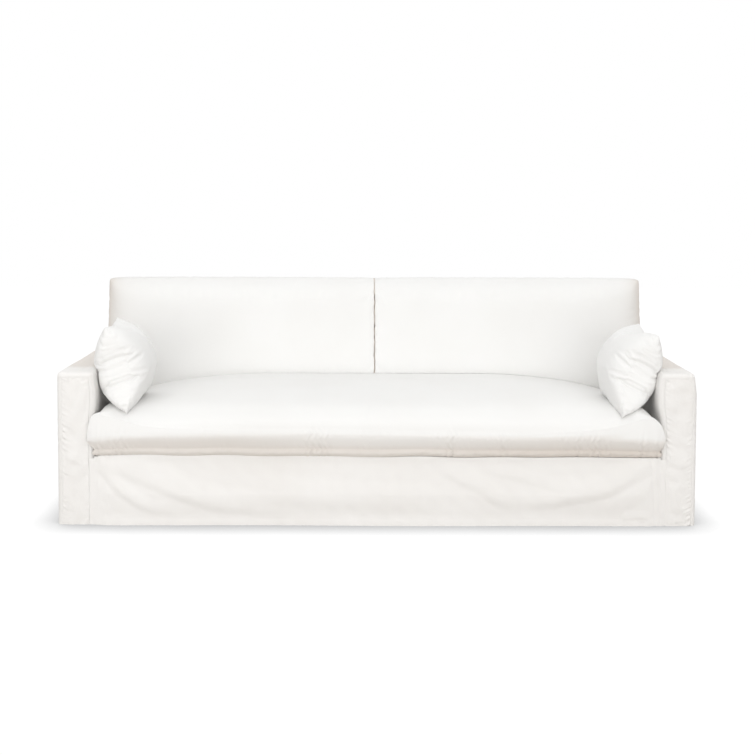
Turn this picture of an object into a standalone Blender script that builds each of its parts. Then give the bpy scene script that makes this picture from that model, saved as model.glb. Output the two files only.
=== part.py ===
"""Slipcover set of a three-seat sofa with track arms: the sewn body cover and its cushions.

Metres, +Z up. The front faces -Y and +X is to the right of someone who faces the sofa.
The origin lies on the floor, under the middle of the whole set.

The body cover is an empty skin: flat cloth panels that meet along their seams, with the
room of the sofa's frame inside, open at the floor. On it lie the bench seat cushion, two
back cushions that reach out over the arms, and two small pillows that lean on the arms.
"""

import math
from dataclasses import dataclass

import bmesh
import bpy
from mathutils import Vector

# ---------------------------------------------------------------- driving dimensions
WIDTH = 2.44            # over both arms
DEPTH = 1.04            # from the arm fronts to the outside back
CUSHION_PROUD = 0.030   # how far the seat cushion's nose stands in front of the arms
ARM_HEIGHT = 0.585
ARM_WIDTH = 0.14
DECK_HEIGHT = 0.262     # top of the cloth that the seat cushion lies on
BACK_HEIGHT = 0.80      # top of the cover's back, a little under the back cushions
SEAT_DEPTH = 0.86       # arm fronts to the inside back, measured on the deck
BACK_DEPTH = 0.09       # width of the strip over the top of the back
CUSHION_TOP = 0.862     # top of the back cushions

CLOTH = 0.0025          # washed cotton with its seam allowances
SEAM_GAP = 0.0003       # between two panels that are sewn together
REST_GAP = 0.002        # between the cover and what lies on it
SEAM_INSET = 0.019      # the arm's boxing turns this far round on to the arm front
ARM_ROUND = 0.010       # radius of the arm front's edges
DECK_ROUND = 0.006      # radius of the deck's front edge
DROP_SEAM = 0.0005      # the front drop's top seam lies this far under that edge
HEM_WIDTH = 0.030
HEM_EXTRA = 0.001       # the hem is a second layer of cloth

# ---------------------------------------------------------------- worked-out places
HALF = WIDTH / 2
FRONT = CUSHION_PROUD - (DEPTH + CUSHION_PROUD) / 2
BACK = FRONT + DEPTH
ARM_INSIDE = HALF - ARM_WIDTH
INNER_SEAM = ARM_INSIDE + SEAM_INSET
OUTER_SEAM = HALF - SEAM_INSET
BACK_LEAN = (DEPTH - BACK_DEPTH - SEAT_DEPTH) / (BACK_HEIGHT - DECK_HEIGHT)
SKIRT_TOP = DECK_HEIGHT - DECK_ROUND - DROP_SEAM
QUARTER = math.pi / 2
LEFT, RIGHT = -1, 1
SIDES = ((LEFT, "left"), (RIGHT, "right"))

COVER_WHITE = (0.86, 0.85, 0.82, 1.0)
CUSHION_WHITE = (0.88, 0.875, 0.85, 1.0)


# ---------------------------------------------------------------- small mathematics
def lerp(a, b, t):
    """Return the value a part t of the way from a to b."""
    return a + (b - a) * t


def smooth(a, b, value):
    """Return 0 below a, 1 above b, and a soft rise between them."""
    t = min(max((value - a) / (b - a), 0.0), 1.0)
    return t * t * (3 - 2 * t)


def bell(distance, reach):
    """Return a soft hump: 1 at no distance, 0 from the reach outwards."""
    t = min(abs(distance) / reach, 1.0)
    return (1 - t * t) ** 2


def steps(start, stop, count):
    """Return count + 1 evenly spaced values from start to stop."""
    return [lerp(start, stop, i / count) for i in range(count + 1)]


def inside_back(z):
    """Return the y of the leaning inside back at height z."""
    return FRONT + SEAT_DEPTH + (z - DECK_HEIGHT) * BACK_LEAN


# ---------------------------------------------------------------- folds
@dataclass(frozen=True)
class Fold:
    """One soft fold of a hanging panel, along a curve on it.

    The cloth stands out by `rise` along the crest, falls away over `above` on its upper
    side and over `below` under it, and the fold fades in and out at its two ends.
    """

    crest: tuple
    rise: float
    above: float
    below: float
    fade_in: float = 0.15
    fade_out: float = 0.35


def curve_point(points, t):
    """Return the place at t, from 0 to 1, on a smooth curve through the points."""
    last = len(points) - 1
    i = min(int(t * last), last - 1)
    f = t * last - i
    p0, p1 = points[max(i - 1, 0)], points[i]
    p2, p3 = points[i + 1], points[min(i + 2, last)]
    return tuple(
        0.5 * (2 * b + (c - a) * f + (2 * a - 5 * b + 4 * c - d) * f * f
               + (3 * b - a - 3 * c + d) * f ** 3)
        for a, b, c, d in zip(p0, p1, p2, p3))


def fold_relief(folds, samples=28):
    """Return a function (x, z) -> how far the folds stand out there."""
    traced = []
    for fold in folds:
        line = [curve_point(fold.crest, i / samples) for i in range(samples + 1)]
        traced.append((fold, line))

    def relief(x, z):
        total = 0.0
        for fold, line in traced:
            near = min(range(samples + 1),
                       key=lambda i: (line[i][0] - x) ** 2 + (line[i][1] - z) ** 2)
            distance = math.hypot(line[near][0] - x, line[near][1] - z)
            reach = fold.above if z > line[near][1] else fold.below
            t = near / samples
            ends = smooth(0, fold.fade_in, t) * smooth(0, fold.fade_out, 1 - t)
            total += fold.rise * bell(distance, reach) * max(ends, 0.15)
        return total

    return relief


# Folds of the front drop: (x, z) along the crest, then the sizes. The cloth is held at
# its two upper corners and hangs in long swags from there to the middle of the hem.
SKIRT_FOLDS = (
    Fold(crest=((-1.075, 0.262), (-0.927, 0.198), (-0.782, 0.140), (-0.641, 0.092),
                (-0.486, 0.078), (-0.250, 0.052)), rise=0.0104, above=0.075, below=0.030),
    Fold(crest=((-1.080, 0.244), (-1.023, 0.196), (-0.965, 0.129), (-0.860, 0.068),
                (-0.740, 0.050)), rise=0.0072, above=0.040, below=0.026),
    Fold(crest=((-0.420, 0.128), (-0.174, 0.106), (0.085, 0.098), (0.300, 0.080)),
         rise=0.0048, above=0.080, below=0.055),
    Fold(crest=((0.235, 0.232), (0.338, 0.178), (0.416, 0.140), (0.464, 0.102),
                (0.540, 0.092)), rise=0.0072, above=0.055, below=0.028),
    Fold(crest=((1.080, 0.262), (0.990, 0.206), (0.887, 0.152), (0.766, 0.122),
                (0.620, 0.096), (0.480, 0.094)), rise=0.0112, above=0.075, below=0.030),
    Fold(crest=((0.420, 0.215), (0.540, 0.190), (0.640, 0.164), (0.740, 0.150)),
         rise=0.0040, above=0.040, below=0.024),
    Fold(crest=((1.088, 0.222), (0.990, 0.133), (0.860, 0.045)),
         rise=0.0072, above=0.034, below=0.034),
    Fold(crest=((0.930, 0.047), (0.990, 0.053), (1.050, 0.040)),
         rise=0.0040, above=0.030, below=0.022),
)

# Soft dents and folds of the arm fronts and the outside panels, in each panel's own
# (across, up) directions.
ARM_FRONT_FOLDS = {
    "left": (
        Fold(crest=((-1.190, 0.262), (-1.150, 0.272), (-1.110, 0.262)),
             rise=0.0022, above=0.040, below=0.032),
        Fold(crest=((-1.112, 0.560), (-1.126, 0.470), (-1.122, 0.380)),
             rise=0.003, above=0.024, below=0.024),
    ),
    "right": (
        Fold(crest=((1.108, 0.252), (1.150, 0.243), (1.192, 0.236)),
             rise=0.0028, above=0.040, below=0.030),
        Fold(crest=((1.148, 0.170), (1.154, 0.090), (1.160, 0.010)),
             rise=0.0032, above=0.032, below=0.032, fade_in=0.5, fade_out=0.05),
        Fold(crest=((1.112, 0.540), (1.124, 0.470), (1.120, 0.390)),
             rise=0.003, above=0.024, below=0.024),
    ),
}
ARM_SIDE_FOLDS = (
    Fold(crest=((0.10, 0.500), (0.30, 0.330), (0.40, 0.130), (0.43, 0.010)),
         rise=-0.008, above=0.110, below=0.110, fade_out=0.05),
    Fold(crest=((0.88, 0.470), (0.78, 0.280), (0.74, 0.010)),
         rise=-0.007, above=0.090, below=0.090, fade_out=0.05),
    Fold(crest=((0.10, 0.210), (0.17, 0.110), (0.20, 0.010)),
         rise=-0.006, above=0.060, below=0.060, fade_out=0.05),
)
BACK_FOLDS = (
    Fold(crest=((-1.00, 0.660), (-0.82, 0.380), (-0.76, 0.010)),
         rise=-0.009, above=0.130, below=0.130, fade_out=0.05),
    Fold(crest=((-0.25, 0.420), (-0.20, 0.220), (-0.22, 0.010)),
         rise=-0.008, above=0.110, below=0.110, fade_out=0.05),
    Fold(crest=((0.36, 0.520), (0.33, 0.260), (0.36, 0.010)),
         rise=-0.009, above=0.120, below=0.120, fade_out=0.05),
    Fold(crest=((0.98, 0.620), (0.88, 0.330), (0.84, 0.010)),
         rise=-0.007, above=0.110, below=0.110, fade_out=0.05),
)


# ---------------------------------------------------------------- solids
def cloth_material(name, colour):
    """Return a matt cotton material."""
    material = bpy.data.materials.new(name)
    material.use_nodes = True
    shader = material.node_tree.nodes["Principled BSDF"]
    shader.inputs["Base Color"].default_value = colour
    shader.inputs["Roughness"].default_value = 0.92
    shader.inputs["Metallic"].default_value = 0.0
    material.diffuse_color = colour
    return material


def add_solid(name, points, faces, material):
    """Make one closed object from points and faces, with its faces turned outwards."""
    mesh = bpy.data.meshes.new(name)
    mesh.from_pydata(points, [], faces)
    shape = bmesh.new()
    shape.from_mesh(mesh)
    bmesh.ops.recalc_face_normals(shape, faces=shape.faces)
    shape.to_mesh(mesh)
    shape.free()
    mesh.shade_smooth()
    mesh.set_sharp_from_angle(angle=math.radians(50))
    mesh.materials.append(material)
    solid = bpy.data.objects.new(name, mesh)
    bpy.context.collection.objects.link(solid)
    return solid


def no_relief(_s, _t):
    """Return the relief of a cloth that lies flat."""
    return 0.0


def cloth_panel(name, place, columns, rows, facing, material, relief=no_relief, hem=False):
    """Make one panel: a sheet on a surface, as thick as the cloth, inwards from it.

    place(s, t) gives the outside of the cloth, columns and rows are the values of s and
    t that get points, and facing is roughly the way that the panel's middle looks.
    """
    small = 1e-4

    def normal(s, t):
        along = place(s + small, t) - place(s - small, t)
        up = place(s, t + small) - place(s, t - small)
        return along.cross(up).normalized()

    middle = normal(columns[len(columns) // 2], rows[len(rows) // 2])
    sign = 1 if middle.dot(Vector(facing)) > 0 else -1
    outside, inside = [], []
    for t in rows:
        for s in columns:
            out = normal(s, t) * sign
            surface = place(s, t) + out * relief(s, t)
            layers = CLOTH
            if hem and t < HEM_WIDTH:
                layers += HEM_EXTRA
            outside.append(surface)
            inside.append(surface - out * layers)

    wide, count = len(columns), len(outside)
    faces = []
    for j in range(len(rows) - 1):
        for i in range(wide - 1):
            a = j * wide + i
            quad = (a, a + 1, a + wide + 1, a + wide)
            faces.append(quad)
            faces.append(tuple(k + count for k in reversed(quad)))
    rim = list(range(wide))
    rim += [j * wide + wide - 1 for j in range(1, len(rows))]
    rim += [(len(rows) - 1) * wide + i for i in range(wide - 2, -1, -1)]
    rim += [j * wide for j in range(len(rows) - 2, 0, -1)]
    for a, b in zip(rim, rim[1:] + rim[:1]):
        faces.append((b, a, a + count, b + count))
    return add_solid(name, outside + inside, faces, material)


def filled_form(name, place, across, along, through, material):
    """Make one filled cushion: the skin of a block of cells, bent into shape by place.

    place(u, v, w) takes values from -1 to 1; across, along and through list them.
    """
    last = (len(across) - 1, len(along) - 1, len(through) - 1)
    index, points = {}, []
    for i, u in enumerate(across):
        for j, v in enumerate(along):
            for k, w in enumerate(through):
                if i in (0, last[0]) or j in (0, last[1]) or k in (0, last[2]):
                    index[i, j, k] = len(points)
                    points.append(place(u, v, w))

    faces = []
    for axis in range(3):
        a, b = [n for n in range(3) if n != axis]
        for end in (0, last[axis]):
            for m in range(last[a]):
                for n in range(last[b]):
                    quad = []
                    for dm, dn in ((0, 0), (1, 0), (1, 1), (0, 1)):
                        cell = [0, 0, 0]
                        cell[axis], cell[a], cell[b] = end, m + dm, n + dn
                        quad.append(index[tuple(cell)])
                    faces.append(quad)
    return add_solid(name, points, faces, material)


# ---------------------------------------------------------------- wrapped edges
def wrap_path(s, lip, radius):
    """Follow a cloth round a rounded front edge, from the free edge of its lip.

    Returns how far the cloth lies inside the wall's outer face and how far it is behind
    the front plane, at the distance s along the cloth.
    """
    straight = lip - radius
    if s <= straight:
        return lip - s, 0.0
    angle = (s - straight) / radius
    if angle < QUARTER:
        return radius * (1 - math.sin(angle)), radius * (1 - math.cos(angle))
    return 0.0, radius + s - straight - QUARTER * radius


def wrap_length(lip, radius, run):
    """Return the distance along the cloth at which it is run behind the front plane."""
    return lip - radius + QUARTER * radius + run - radius


def wrap_steps(lip, radius, run, count):
    """Return the stations along a wrapped cloth: the lip, the bend and the wall."""
    bend = lip - radius
    wall = bend + QUARTER * radius
    return [0.0] + steps(bend, wall, 3) + steps(wall, wrap_length(lip, radius, run), count)[1:]


def bend_share(s):
    """Return 1 on the arm's front lip and 0 on its wall, with a soft change in the bend."""
    wall = SEAM_INSET - ARM_ROUND + QUARTER * ARM_ROUND
    return 1 - smooth(wall - ARM_ROUND / 2, wall + ARM_ROUND, s)


# ---------------------------------------------------------------- body cover
HEM_FLARE = 0.007           # the front drop's hem stands out this far
DROP_BELLY = 0.010          # and its middle this far, from a little inside the arm fronts
DROP_SINK = 0.005


def build_front_drop(material):
    """Make the front drop between the two arm fronts, with its swags and hem."""
    edge = INNER_SEAM - SEAM_GAP
    swags = fold_relief(SKIRT_FOLDS)

    def relief(x, z):
        held = smooth(0, 0.05, edge - abs(x)) * smooth(0, 0.03, SKIRT_TOP - z)
        flare = HEM_FLARE * (1 - smooth(0.0, 0.045, z))
        belly = DROP_BELLY * smooth(0.03, 0.13, z) * (1 - smooth(0.19, 0.257, z))
        ripple = 0.0025 * math.sin(5.2 * x + 0.8) * (1 - smooth(0.02, 0.12, z))
        hang = swags(x, z) + ripple + belly - DROP_SINK
        return hang * held + flare * smooth(0, 0.08, edge - abs(x))

    cloth_panel("front_drop", lambda x, z: Vector((x, FRONT, z)),
                steps(-edge, edge, 52),
                [0.0, 0.016, HEM_WIDTH - 0.001] + steps(HEM_WIDTH + 0.001, SKIRT_TOP, 14),
                (0, -1, 0), material, relief, hem=True)


def build_arm(side, word, material):
    """Make the four panels of one arm: front, outside, top and inside."""
    top_under = ARM_HEIGHT - CLOTH - SEAM_GAP
    lip_top = ARM_HEIGHT - SEAM_INSET - SEAM_GAP
    outside_run = DEPTH - CLOTH - HEM_EXTRA - SEAM_GAP

    front_folds = fold_relief(ARM_FRONT_FOLDS[word])
    seams = (side * (INNER_SEAM + SEAM_GAP), side * (OUTER_SEAM - SEAM_GAP))

    def front_relief(x, z):
        held = min(smooth(0, 0.02, abs(x - seam)) for seam in seams)
        return front_folds(x, z) * held * smooth(0, 0.02, lip_top - z)

    cloth_panel(f"arm_front_{word}", lambda x, z: Vector((x, FRONT, z)),
                steps(min(seams), max(seams), 6),
                [0.0, HEM_WIDTH - 0.001] + steps(HEM_WIDTH + 0.001, lip_top, 20),
                (0, -1, 0), material, front_relief, hem=True)

    def outside(s, z_share):
        inset, run = wrap_path(s, SEAM_INSET, ARM_ROUND)
        top = lerp(top_under, lip_top, bend_share(s))
        return Vector((side * (HALF - inset), FRONT + run, z_share * top))

    side_folds = fold_relief(ARM_SIDE_FOLDS)

    def outside_relief(s, z_share):
        held = smooth(0.03, 0.10, s) * smooth(0, 0.10, outside_run - s)
        return side_folds(s, z_share * ARM_HEIGHT) * held * smooth(0, 0.08, 1 - z_share)

    hem_share = HEM_WIDTH / top_under
    cloth_panel(f"arm_outside_{word}", outside,
                wrap_steps(SEAM_INSET, ARM_ROUND, outside_run, 14),
                [0.0, hem_share] + steps(hem_share * 1.08, 1.0, 9),
                (side, 0, 0), material, outside_relief, hem=True)

    def top(x, s):
        inset, run = wrap_path(s, SEAM_INSET, ARM_ROUND)
        return Vector((side * x, FRONT + run, ARM_HEIGHT - inset))

    def top_relief(x, s):
        crown = math.sin(math.pi * (x - ARM_INSIDE) / ARM_WIDTH)
        return -0.003 * crown * smooth(0.04, 0.20, s)

    top_run = inside_back(ARM_HEIGHT - CLOTH) - FRONT - SEAM_GAP
    cloth_panel(f"arm_top_{word}", top, steps(ARM_INSIDE, HALF, 5),
                wrap_steps(SEAM_INSET, ARM_ROUND, top_run, 9),
                (0, 0, 1), material, top_relief)

    deck_under = DECK_HEIGHT - CLOTH
    lip_bottom = SKIRT_TOP + SEAM_GAP

    def inside(s, share):
        inset, run = wrap_path(s, SEAM_INSET - SEAM_GAP, ARM_ROUND)
        low = lerp(deck_under, lip_bottom, bend_share(s))
        high = lerp(top_under, lip_top, bend_share(s))
        z = lerp(low, high, share)
        lean = (z - deck_under) * BACK_LEAN * smooth(0.3, inside_run, s)
        return Vector((side * (ARM_INSIDE + inset), FRONT + run + lean, z))

    inside_run = inside_back(deck_under) - FRONT - SEAM_GAP
    cloth_panel(f"arm_inside_{word}", inside,
                wrap_steps(SEAM_INSET - SEAM_GAP, ARM_ROUND, inside_run, 9),
                steps(0, 1, 6), (-side, 0, 0), material)


def build_deck(material):
    """Make the deck, which turns down over the front edge to meet the front drop."""
    lip = DECK_HEIGHT - SKIRT_TOP - SEAM_GAP
    run = inside_back(DECK_HEIGHT - CLOTH) - FRONT - SEAM_GAP
    edge = ARM_INSIDE - SEAM_GAP

    def place(x, s):
        inset, behind = wrap_path(s, lip, DECK_ROUND)
        return Vector((x, FRONT + behind, DECK_HEIGHT - inset))

    cloth_panel("deck", place, steps(-edge, edge, 10), wrap_steps(lip, DECK_ROUND, run, 4),
                (0, 0, 1), material)


def build_back(material):
    """Make the inside back, the strip over its top, the outside back and the two ends."""
    low = DECK_HEIGHT - CLOTH
    under_top = BACK_HEIGHT - CLOTH - SEAM_GAP
    above_arm = ARM_HEIGHT + SEAM_GAP

    def inner(share, z):
        half = ARM_INSIDE - SEAM_GAP if z < ARM_HEIGHT else HALF
        return Vector((share * half, inside_back(z), z))

    def inner_relief(share, z):
        belly = math.cos(share * QUARTER) * math.sin(math.pi * (z - low) / (under_top - low))
        return -0.004 * max(belly, 0.0)

    cloth_panel("inside_back", inner, steps(-1, 1, 18),
                steps(low, ARM_HEIGHT - SEAM_GAP, 5) + steps(above_arm, under_top, 4),
                (0, -1, 0), material, inner_relief)

    cloth_panel("back_top", lambda x, y: Vector((x, y, BACK_HEIGHT)),
                steps(-HALF, HALF, 18), steps(inside_back(under_top), BACK, 2),
                (0, 0, 1), material)

    folds = fold_relief(BACK_FOLDS)

    def outside_relief(x, z):
        return folds(x, z) * smooth(0, 0.12, HALF - abs(x)) * smooth(0, 0.10, under_top - z)

    cloth_panel("outside_back", lambda x, z: Vector((x, BACK, z)),
                steps(-HALF, HALF, 24),
                [0.0, HEM_WIDTH - 0.001] + steps(HEM_WIDTH + 0.001, under_top, 8),
                (0, 1, 0), material, outside_relief, hem=True)

    end_low = ARM_HEIGHT - CLOTH
    end_back = BACK - CLOTH - SEAM_GAP
    for side, word in SIDES:
        def end(share, z, side=side):
            start = inside_back(max(z, above_arm)) + CLOTH + 2 * SEAM_GAP
            return Vector((side * HALF, lerp(start, end_back, share), z))

        cloth_panel(f"back_end_{word}", end, steps(0, 1, 3), steps(end_low, under_top, 6),
                    (side, 0, 0), material)


# ---------------------------------------------------------------- seat cushion
# Section of the seat cushion's front: share of the way up from the lower to the upper
# seam, and how far it lies behind the arm fronts there. Its lowest part is the bottom
# panel's turned-up lip, the rest is the boxing.
BOXING_SECTION = ((0.00, 0.0040), (0.14, -0.0125), (0.32, -0.0070), (0.65, -0.0195),
                  (1.00, -CUSHION_PROUD))
# Height of the upper front seam, as (x, z).
UPPER_SEAM = ((-1.08, 0.338), (-1.05, 0.343), (-0.94, 0.354), (-0.67, 0.361),
              (-0.30, 0.365), (-0.01, 0.361), (0.27, 0.357), (0.53, 0.348),
              (0.84, 0.351), (0.99, 0.340), (1.08, 0.334))
# Roundness of the two ends, as the two powers of their outline, and how far the front
# corners bulge out over the arm fronts.
SEAT_ENDS = {LEFT: (7.0, 0.36), RIGHT: (2.6, 0.50)}
SEAT_FLARE = {LEFT: 0.0255, RIGHT: 0.0140}
SEAT_SEAM_LOW = 0.265
SEAT_TOP = 0.457
SEAT_HALF = ARM_INSIDE - 0.0025
SEAT_BACK = SEAT_DEPTH - 0.006
SEAT_END_SOFT = 0.115       # the ends round off over this length
SEAT_LEVEL = 0.45           # beyond this x the rear of the cushion is pressed down
SEAT_REAR_FALL = 0.74       # by this share of its crown
NOSE_POWER = (0.30, 0.10)   # fullness of the nose in the middle and at the ends
NOSE_SPAN = (0.80, 1.04)    # it changes over this part of each half
NOSE_CURVE = 3              # power of the top's curve in front
TAIL_CURVE = 8              # and behind
REAR_RUN = (-0.05, 0.65)    # the ends sink more and more over this run backwards
CORNER_TURN = 0.35          # share of the proud nose that the two front corners lack
CORNER_POWER = 8
FLARE_RUN = (-0.012, -0.001)    # the corners bulge in front of this
SEAT_UNDERCUT = 0.004       # the lower seam lies this far inside the upper one at the ends
SEAT_REAR_UNDERCUT = 0.006  # and at the rear
SEAT_FOOT = 0.06            # the underside reaches the deck this far in from its seam
SEAT_FOOT_FRONT = 0.03


def along_table(table, at):
    """Return the second column of a table where its first column has a given value."""
    at = min(max(at, table[0][0]), table[-1][0])
    for (a, low), (b, high) in zip(table, table[1:]):
        if at <= b:
            return lerp(low, high, (at - a) / (b - a))
    return table[-1][1]


def seat_top(x, behind):
    """Return the height of the seat's top at x and at a depth behind the arm fronts."""
    x = min(max(x, -SEAT_HALF), SEAT_HALF)
    seam = along_table(UPPER_SEAM, x)
    power, root = SEAT_ENDS[LEFT if x < 0 else RIGHT]
    q = max(abs(x) - SEAT_HALF + SEAT_END_SOFT, 0.0) / SEAT_END_SOFT
    end = max(1 - q ** power, 0.0) ** root
    fall = max(abs(x) - SEAT_LEVEL, 0.0) / (SEAT_HALF - SEAT_LEVEL)
    end *= 1 - SEAT_REAR_FALL * smooth(*REAR_RUN, behind) * fall ** 2
    t = min(max((behind + CUSHION_PROUD) / (SEAT_BACK + CUSHION_PROUD), 0.0), 1.0)
    if t < 0.5:
        nose = lerp(*NOSE_POWER, smooth(*NOSE_SPAN, abs(x)))
        rise = (1 - (1 - 2 * t) ** NOSE_CURVE) ** nose
    else:
        rise = 1 - (2 * t - 1) ** TAIL_CURVE
    return seam + (SEAT_TOP - seam) * end * rise


def seat_place(u, v, w):
    """Place a point of the seat's skin; u runs across, v backwards and w upwards."""
    height = (w + 1) / 2
    section = along_table(BOXING_SECTION, height)
    front = section * (1 - CORNER_TURN * u ** CORNER_POWER)
    rear = SEAT_BACK - SEAT_REAR_UNDERCUT * (1 - height)
    behind = lerp(front, rear, (v + 1) / 2)
    flare = SEAT_FLARE[LEFT if u < 0 else RIGHT]
    flare *= (1 - smooth(*FLARE_RUN, behind)) * (0.5 - 0.5 * section / CUSHION_PROUD)
    x = u * (SEAT_HALF - SEAT_UNDERCUT * (1 - height) + flare)
    z = lerp(SEAT_SEAM_LOW, along_table(UPPER_SEAM, x), height)
    if w == 1:
        z = seat_top(u * SEAT_HALF, behind)
    elif w == -1:
        inner = min(smooth(0, SEAT_FOOT, SEAT_HALF - abs(x)),
                    smooth(0, SEAT_FOOT_FRONT, behind - front),
                    smooth(0, SEAT_FOOT, SEAT_BACK - behind))
        z = lerp(SEAT_SEAM_LOW, DECK_HEIGHT + REST_GAP, inner)
    return Vector((x, FRONT + behind, z))


def build_seat_cushion(material):
    """Make the bench seat cushion: boxed, strongly crowned, with a soft full nose."""
    end = [0.89, 0.93, 0.96, 0.98, 0.993, 1]
    across = [-u for u in reversed(end)] + steps(-0.82, 0.82, 14) + end
    along = [-1, -0.9985, -0.992, -0.976, -0.959, -0.934, -0.90, -0.84]
    along += steps(-0.74, 0.60, 5) + [0.78, 0.90, 0.97, 1]
    through = [2 * share - 1 for share, _ in BOXING_SECTION]
    filled_form("seat_cushion", seat_place, across, along, through, material)


# ---------------------------------------------------------------- back cushions
BACK_EDGE = 0.105           # thickness of the cushion at its sewn edge
BACK_BULGE = 0.078          # how much the filling adds in the middle
BACK_END = 1.217            # reach of the ear that lies over the arm
BACK_GAP = 0.0010           # half the slit between the two cushions
BACK_END_BULGE = 0.008      # the ends swell by this much between their seams
BACK_TOP_BULGE = 0.006      # and the top by this much
BACK_REST = 0.003           # over the seat's crown
BACK_REST_RUN = (0.85, 1.0)     # towards its end the gap grows to three times as much
BACK_REAR_GAP = 0.005       # clear of the inside back
OUTER_ROLL = (4.2, 0.6)     # powers of the front's outline towards the outer end
INNER_ROLL = (40, 0.5)      # towards the slit
TOP_ROLL = (5, 0.55)        # and towards the top
TOP_ENDS = 6                # power by which the top's swelling ends at the corners
EAR_FADE = (-0.002, 0.02)   # the front flattens where it is squeezed between the arms
EAR_SHARE = 0.34            # share of the rows that lie under the arm's top
EAR_STEP = ARM_HEIGHT + 0.003
EAR_LOW = ARM_HEIGHT + 0.006
EAR_KNEE = SEAT_HALF - 0.03     # outwards of this the part under the arm's top is squeezed


def back_across(u, below):
    """Return how far from the middle a back cushion's skin lies at u."""
    end = BACK_END - BACK_END_BULGE
    x = lerp(BACK_GAP, end, (u + 1) / 2)
    if below and x > EAR_KNEE:
        low_end = SEAT_HALF - BACK_GAP - BACK_END_BULGE
        x = lerp(EAR_KNEE, low_end, (x - EAR_KNEE) / (end - EAR_KNEE))
    return x


def back_place(side, u, z_share, w):
    """Place a point of a back cushion's skin; w runs from its back to its front."""
    below = z_share < EAR_SHARE
    middle = 1 - w * w
    x = back_across(u, below)
    rise = max(2 * z_share - 1, 0.0)
    power, root = OUTER_ROLL if u > 0 else INNER_ROLL
    plump = (1 - abs(u) ** power) ** root
    if below:
        plump *= smooth(*EAR_FADE, SEAT_HALF - x)
    plump *= (1 - rise ** TOP_ROLL[0]) ** TOP_ROLL[1]
    if u == 1:
        x += BACK_END_BULGE * middle
    if below:
        behind = inside_back(SEAT_TOP) - FRONT - BACK_EDGE - BACK_BULGE
        rest = seat_top(side * x, behind) + BACK_REST * (1 + 2 * smooth(*BACK_REST_RUN, x))
        z = lerp(rest, EAR_STEP, z_share / EAR_SHARE)
    else:
        z = lerp(EAR_LOW, CUSHION_TOP - BACK_TOP_BULGE, (z_share - EAR_SHARE) / (1 - EAR_SHARE))
    if z_share == 1:
        z += BACK_TOP_BULGE * middle * (1 - abs(u) ** TOP_ENDS)
    rear = inside_back(z) - BACK_REAR_GAP
    front = rear - BACK_EDGE - BACK_BULGE * plump
    return Vector((side * x, lerp(rear, front, (w + 1) / 2), z))


def build_back_cushions(material):
    """Make the pair of back cushions, each with an ear over its arm."""
    across = [-1, -0.985, -0.94, -0.84] + steps(-0.68, 0.60, 7) + [0.70, 0.80, 0.88, 0.94, 0.98, 1]
    up = [0, 0.12, 0.24, EAR_SHARE - 1e-6, EAR_SHARE] + steps(0.46, 0.84, 4) + [0.93, 0.98, 1]
    for side, word in SIDES:
        filled_form(f"back_cushion_{word}",
                    lambda u, share, w, side=side: back_place(side, u, share, w),
                    across, up, steps(-1, 1, 3), material)


# ---------------------------------------------------------------- pillows
@dataclass(frozen=True)
class Pillow:
    """Corners of one leaning pillow as (x, behind the arm front, z), and its fullness."""

    near_low: tuple
    far_low: tuple
    far_high: tuple
    near_high: tuple
    outward: float
    inward: float
    bow: float


PILLOWS = {
    "left": Pillow(near_low=(-0.9482, -0.020, 0.4294), far_low=(-0.950, 0.395, 0.430),
                   far_high=(-1.0737, 0.400, 0.7415), near_high=(-1.0485, 0.050, 0.7474),
                   outward=0.112, inward=0.104, bow=0.022),
    "right": Pillow(near_low=(0.9234, -0.020, 0.4180), far_low=(0.933, 0.390, 0.430),
                    far_high=(1.0905, 0.400, 0.7219), near_high=(1.0800, 0.050, 0.7210),
                    outward=0.100, inward=0.112, bow=0.010),
}
PILLOW_SEAM = 0.003         # half the thickness at the sewn edge
PILLOW_DRAW = 0.035         # how far the middle of each edge is drawn in
PILLOW_SINK = 1.2           # how strongly its lower inner side settles on the seat
PILLOW_ARM_GAP = 0.008
PILLOW_SEAT_GAP = 0.006
ARM_CLEAR = ARM_INSIDE - PILLOW_ARM_GAP
ARM_BRIM = ARM_HEIGHT + 0.016   # from here the pillow may swell out over the arm
ARM_OVERHANG = 1.1              # as steeply as this
PLUMP_POWER = 0.42              # of the fullness from seam to seam
# Further powers of the fullness, at the front edge and in the middle.
PLUMP_INSIDE = (0.65, 0.95)
PLUMP_OUTSIDE = (0.38, 0.70)
LENS_INSIDE = 0.8               # powers by which both sides thin towards the tips
LENS_OUTSIDE = 0.5
LENS_FADE = (0.3, 0.6)          # the inner side does so below this height only
SINK_HEIGHT = 0.35              # the inner side settles up to this share of its height


def pillow_fullness(u, v, a, b, inner):
    """Return the pillow's fullness on its inner or outer side, from 0 to 1."""
    full = ((1 - u * u) * (1 - v * v)) ** PLUMP_POWER
    far = smooth(0.0, 0.5, a)
    lens = max(4 * b * (1 - b), 0.0)
    if inner:
        taper = LENS_INSIDE * (1 - smooth(*LENS_FADE, b))
        return full ** lerp(*PLUMP_INSIDE, far) * lens ** taper
    return full ** lerp(*PLUMP_OUTSIDE, far) * lens ** LENS_OUTSIDE


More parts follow.
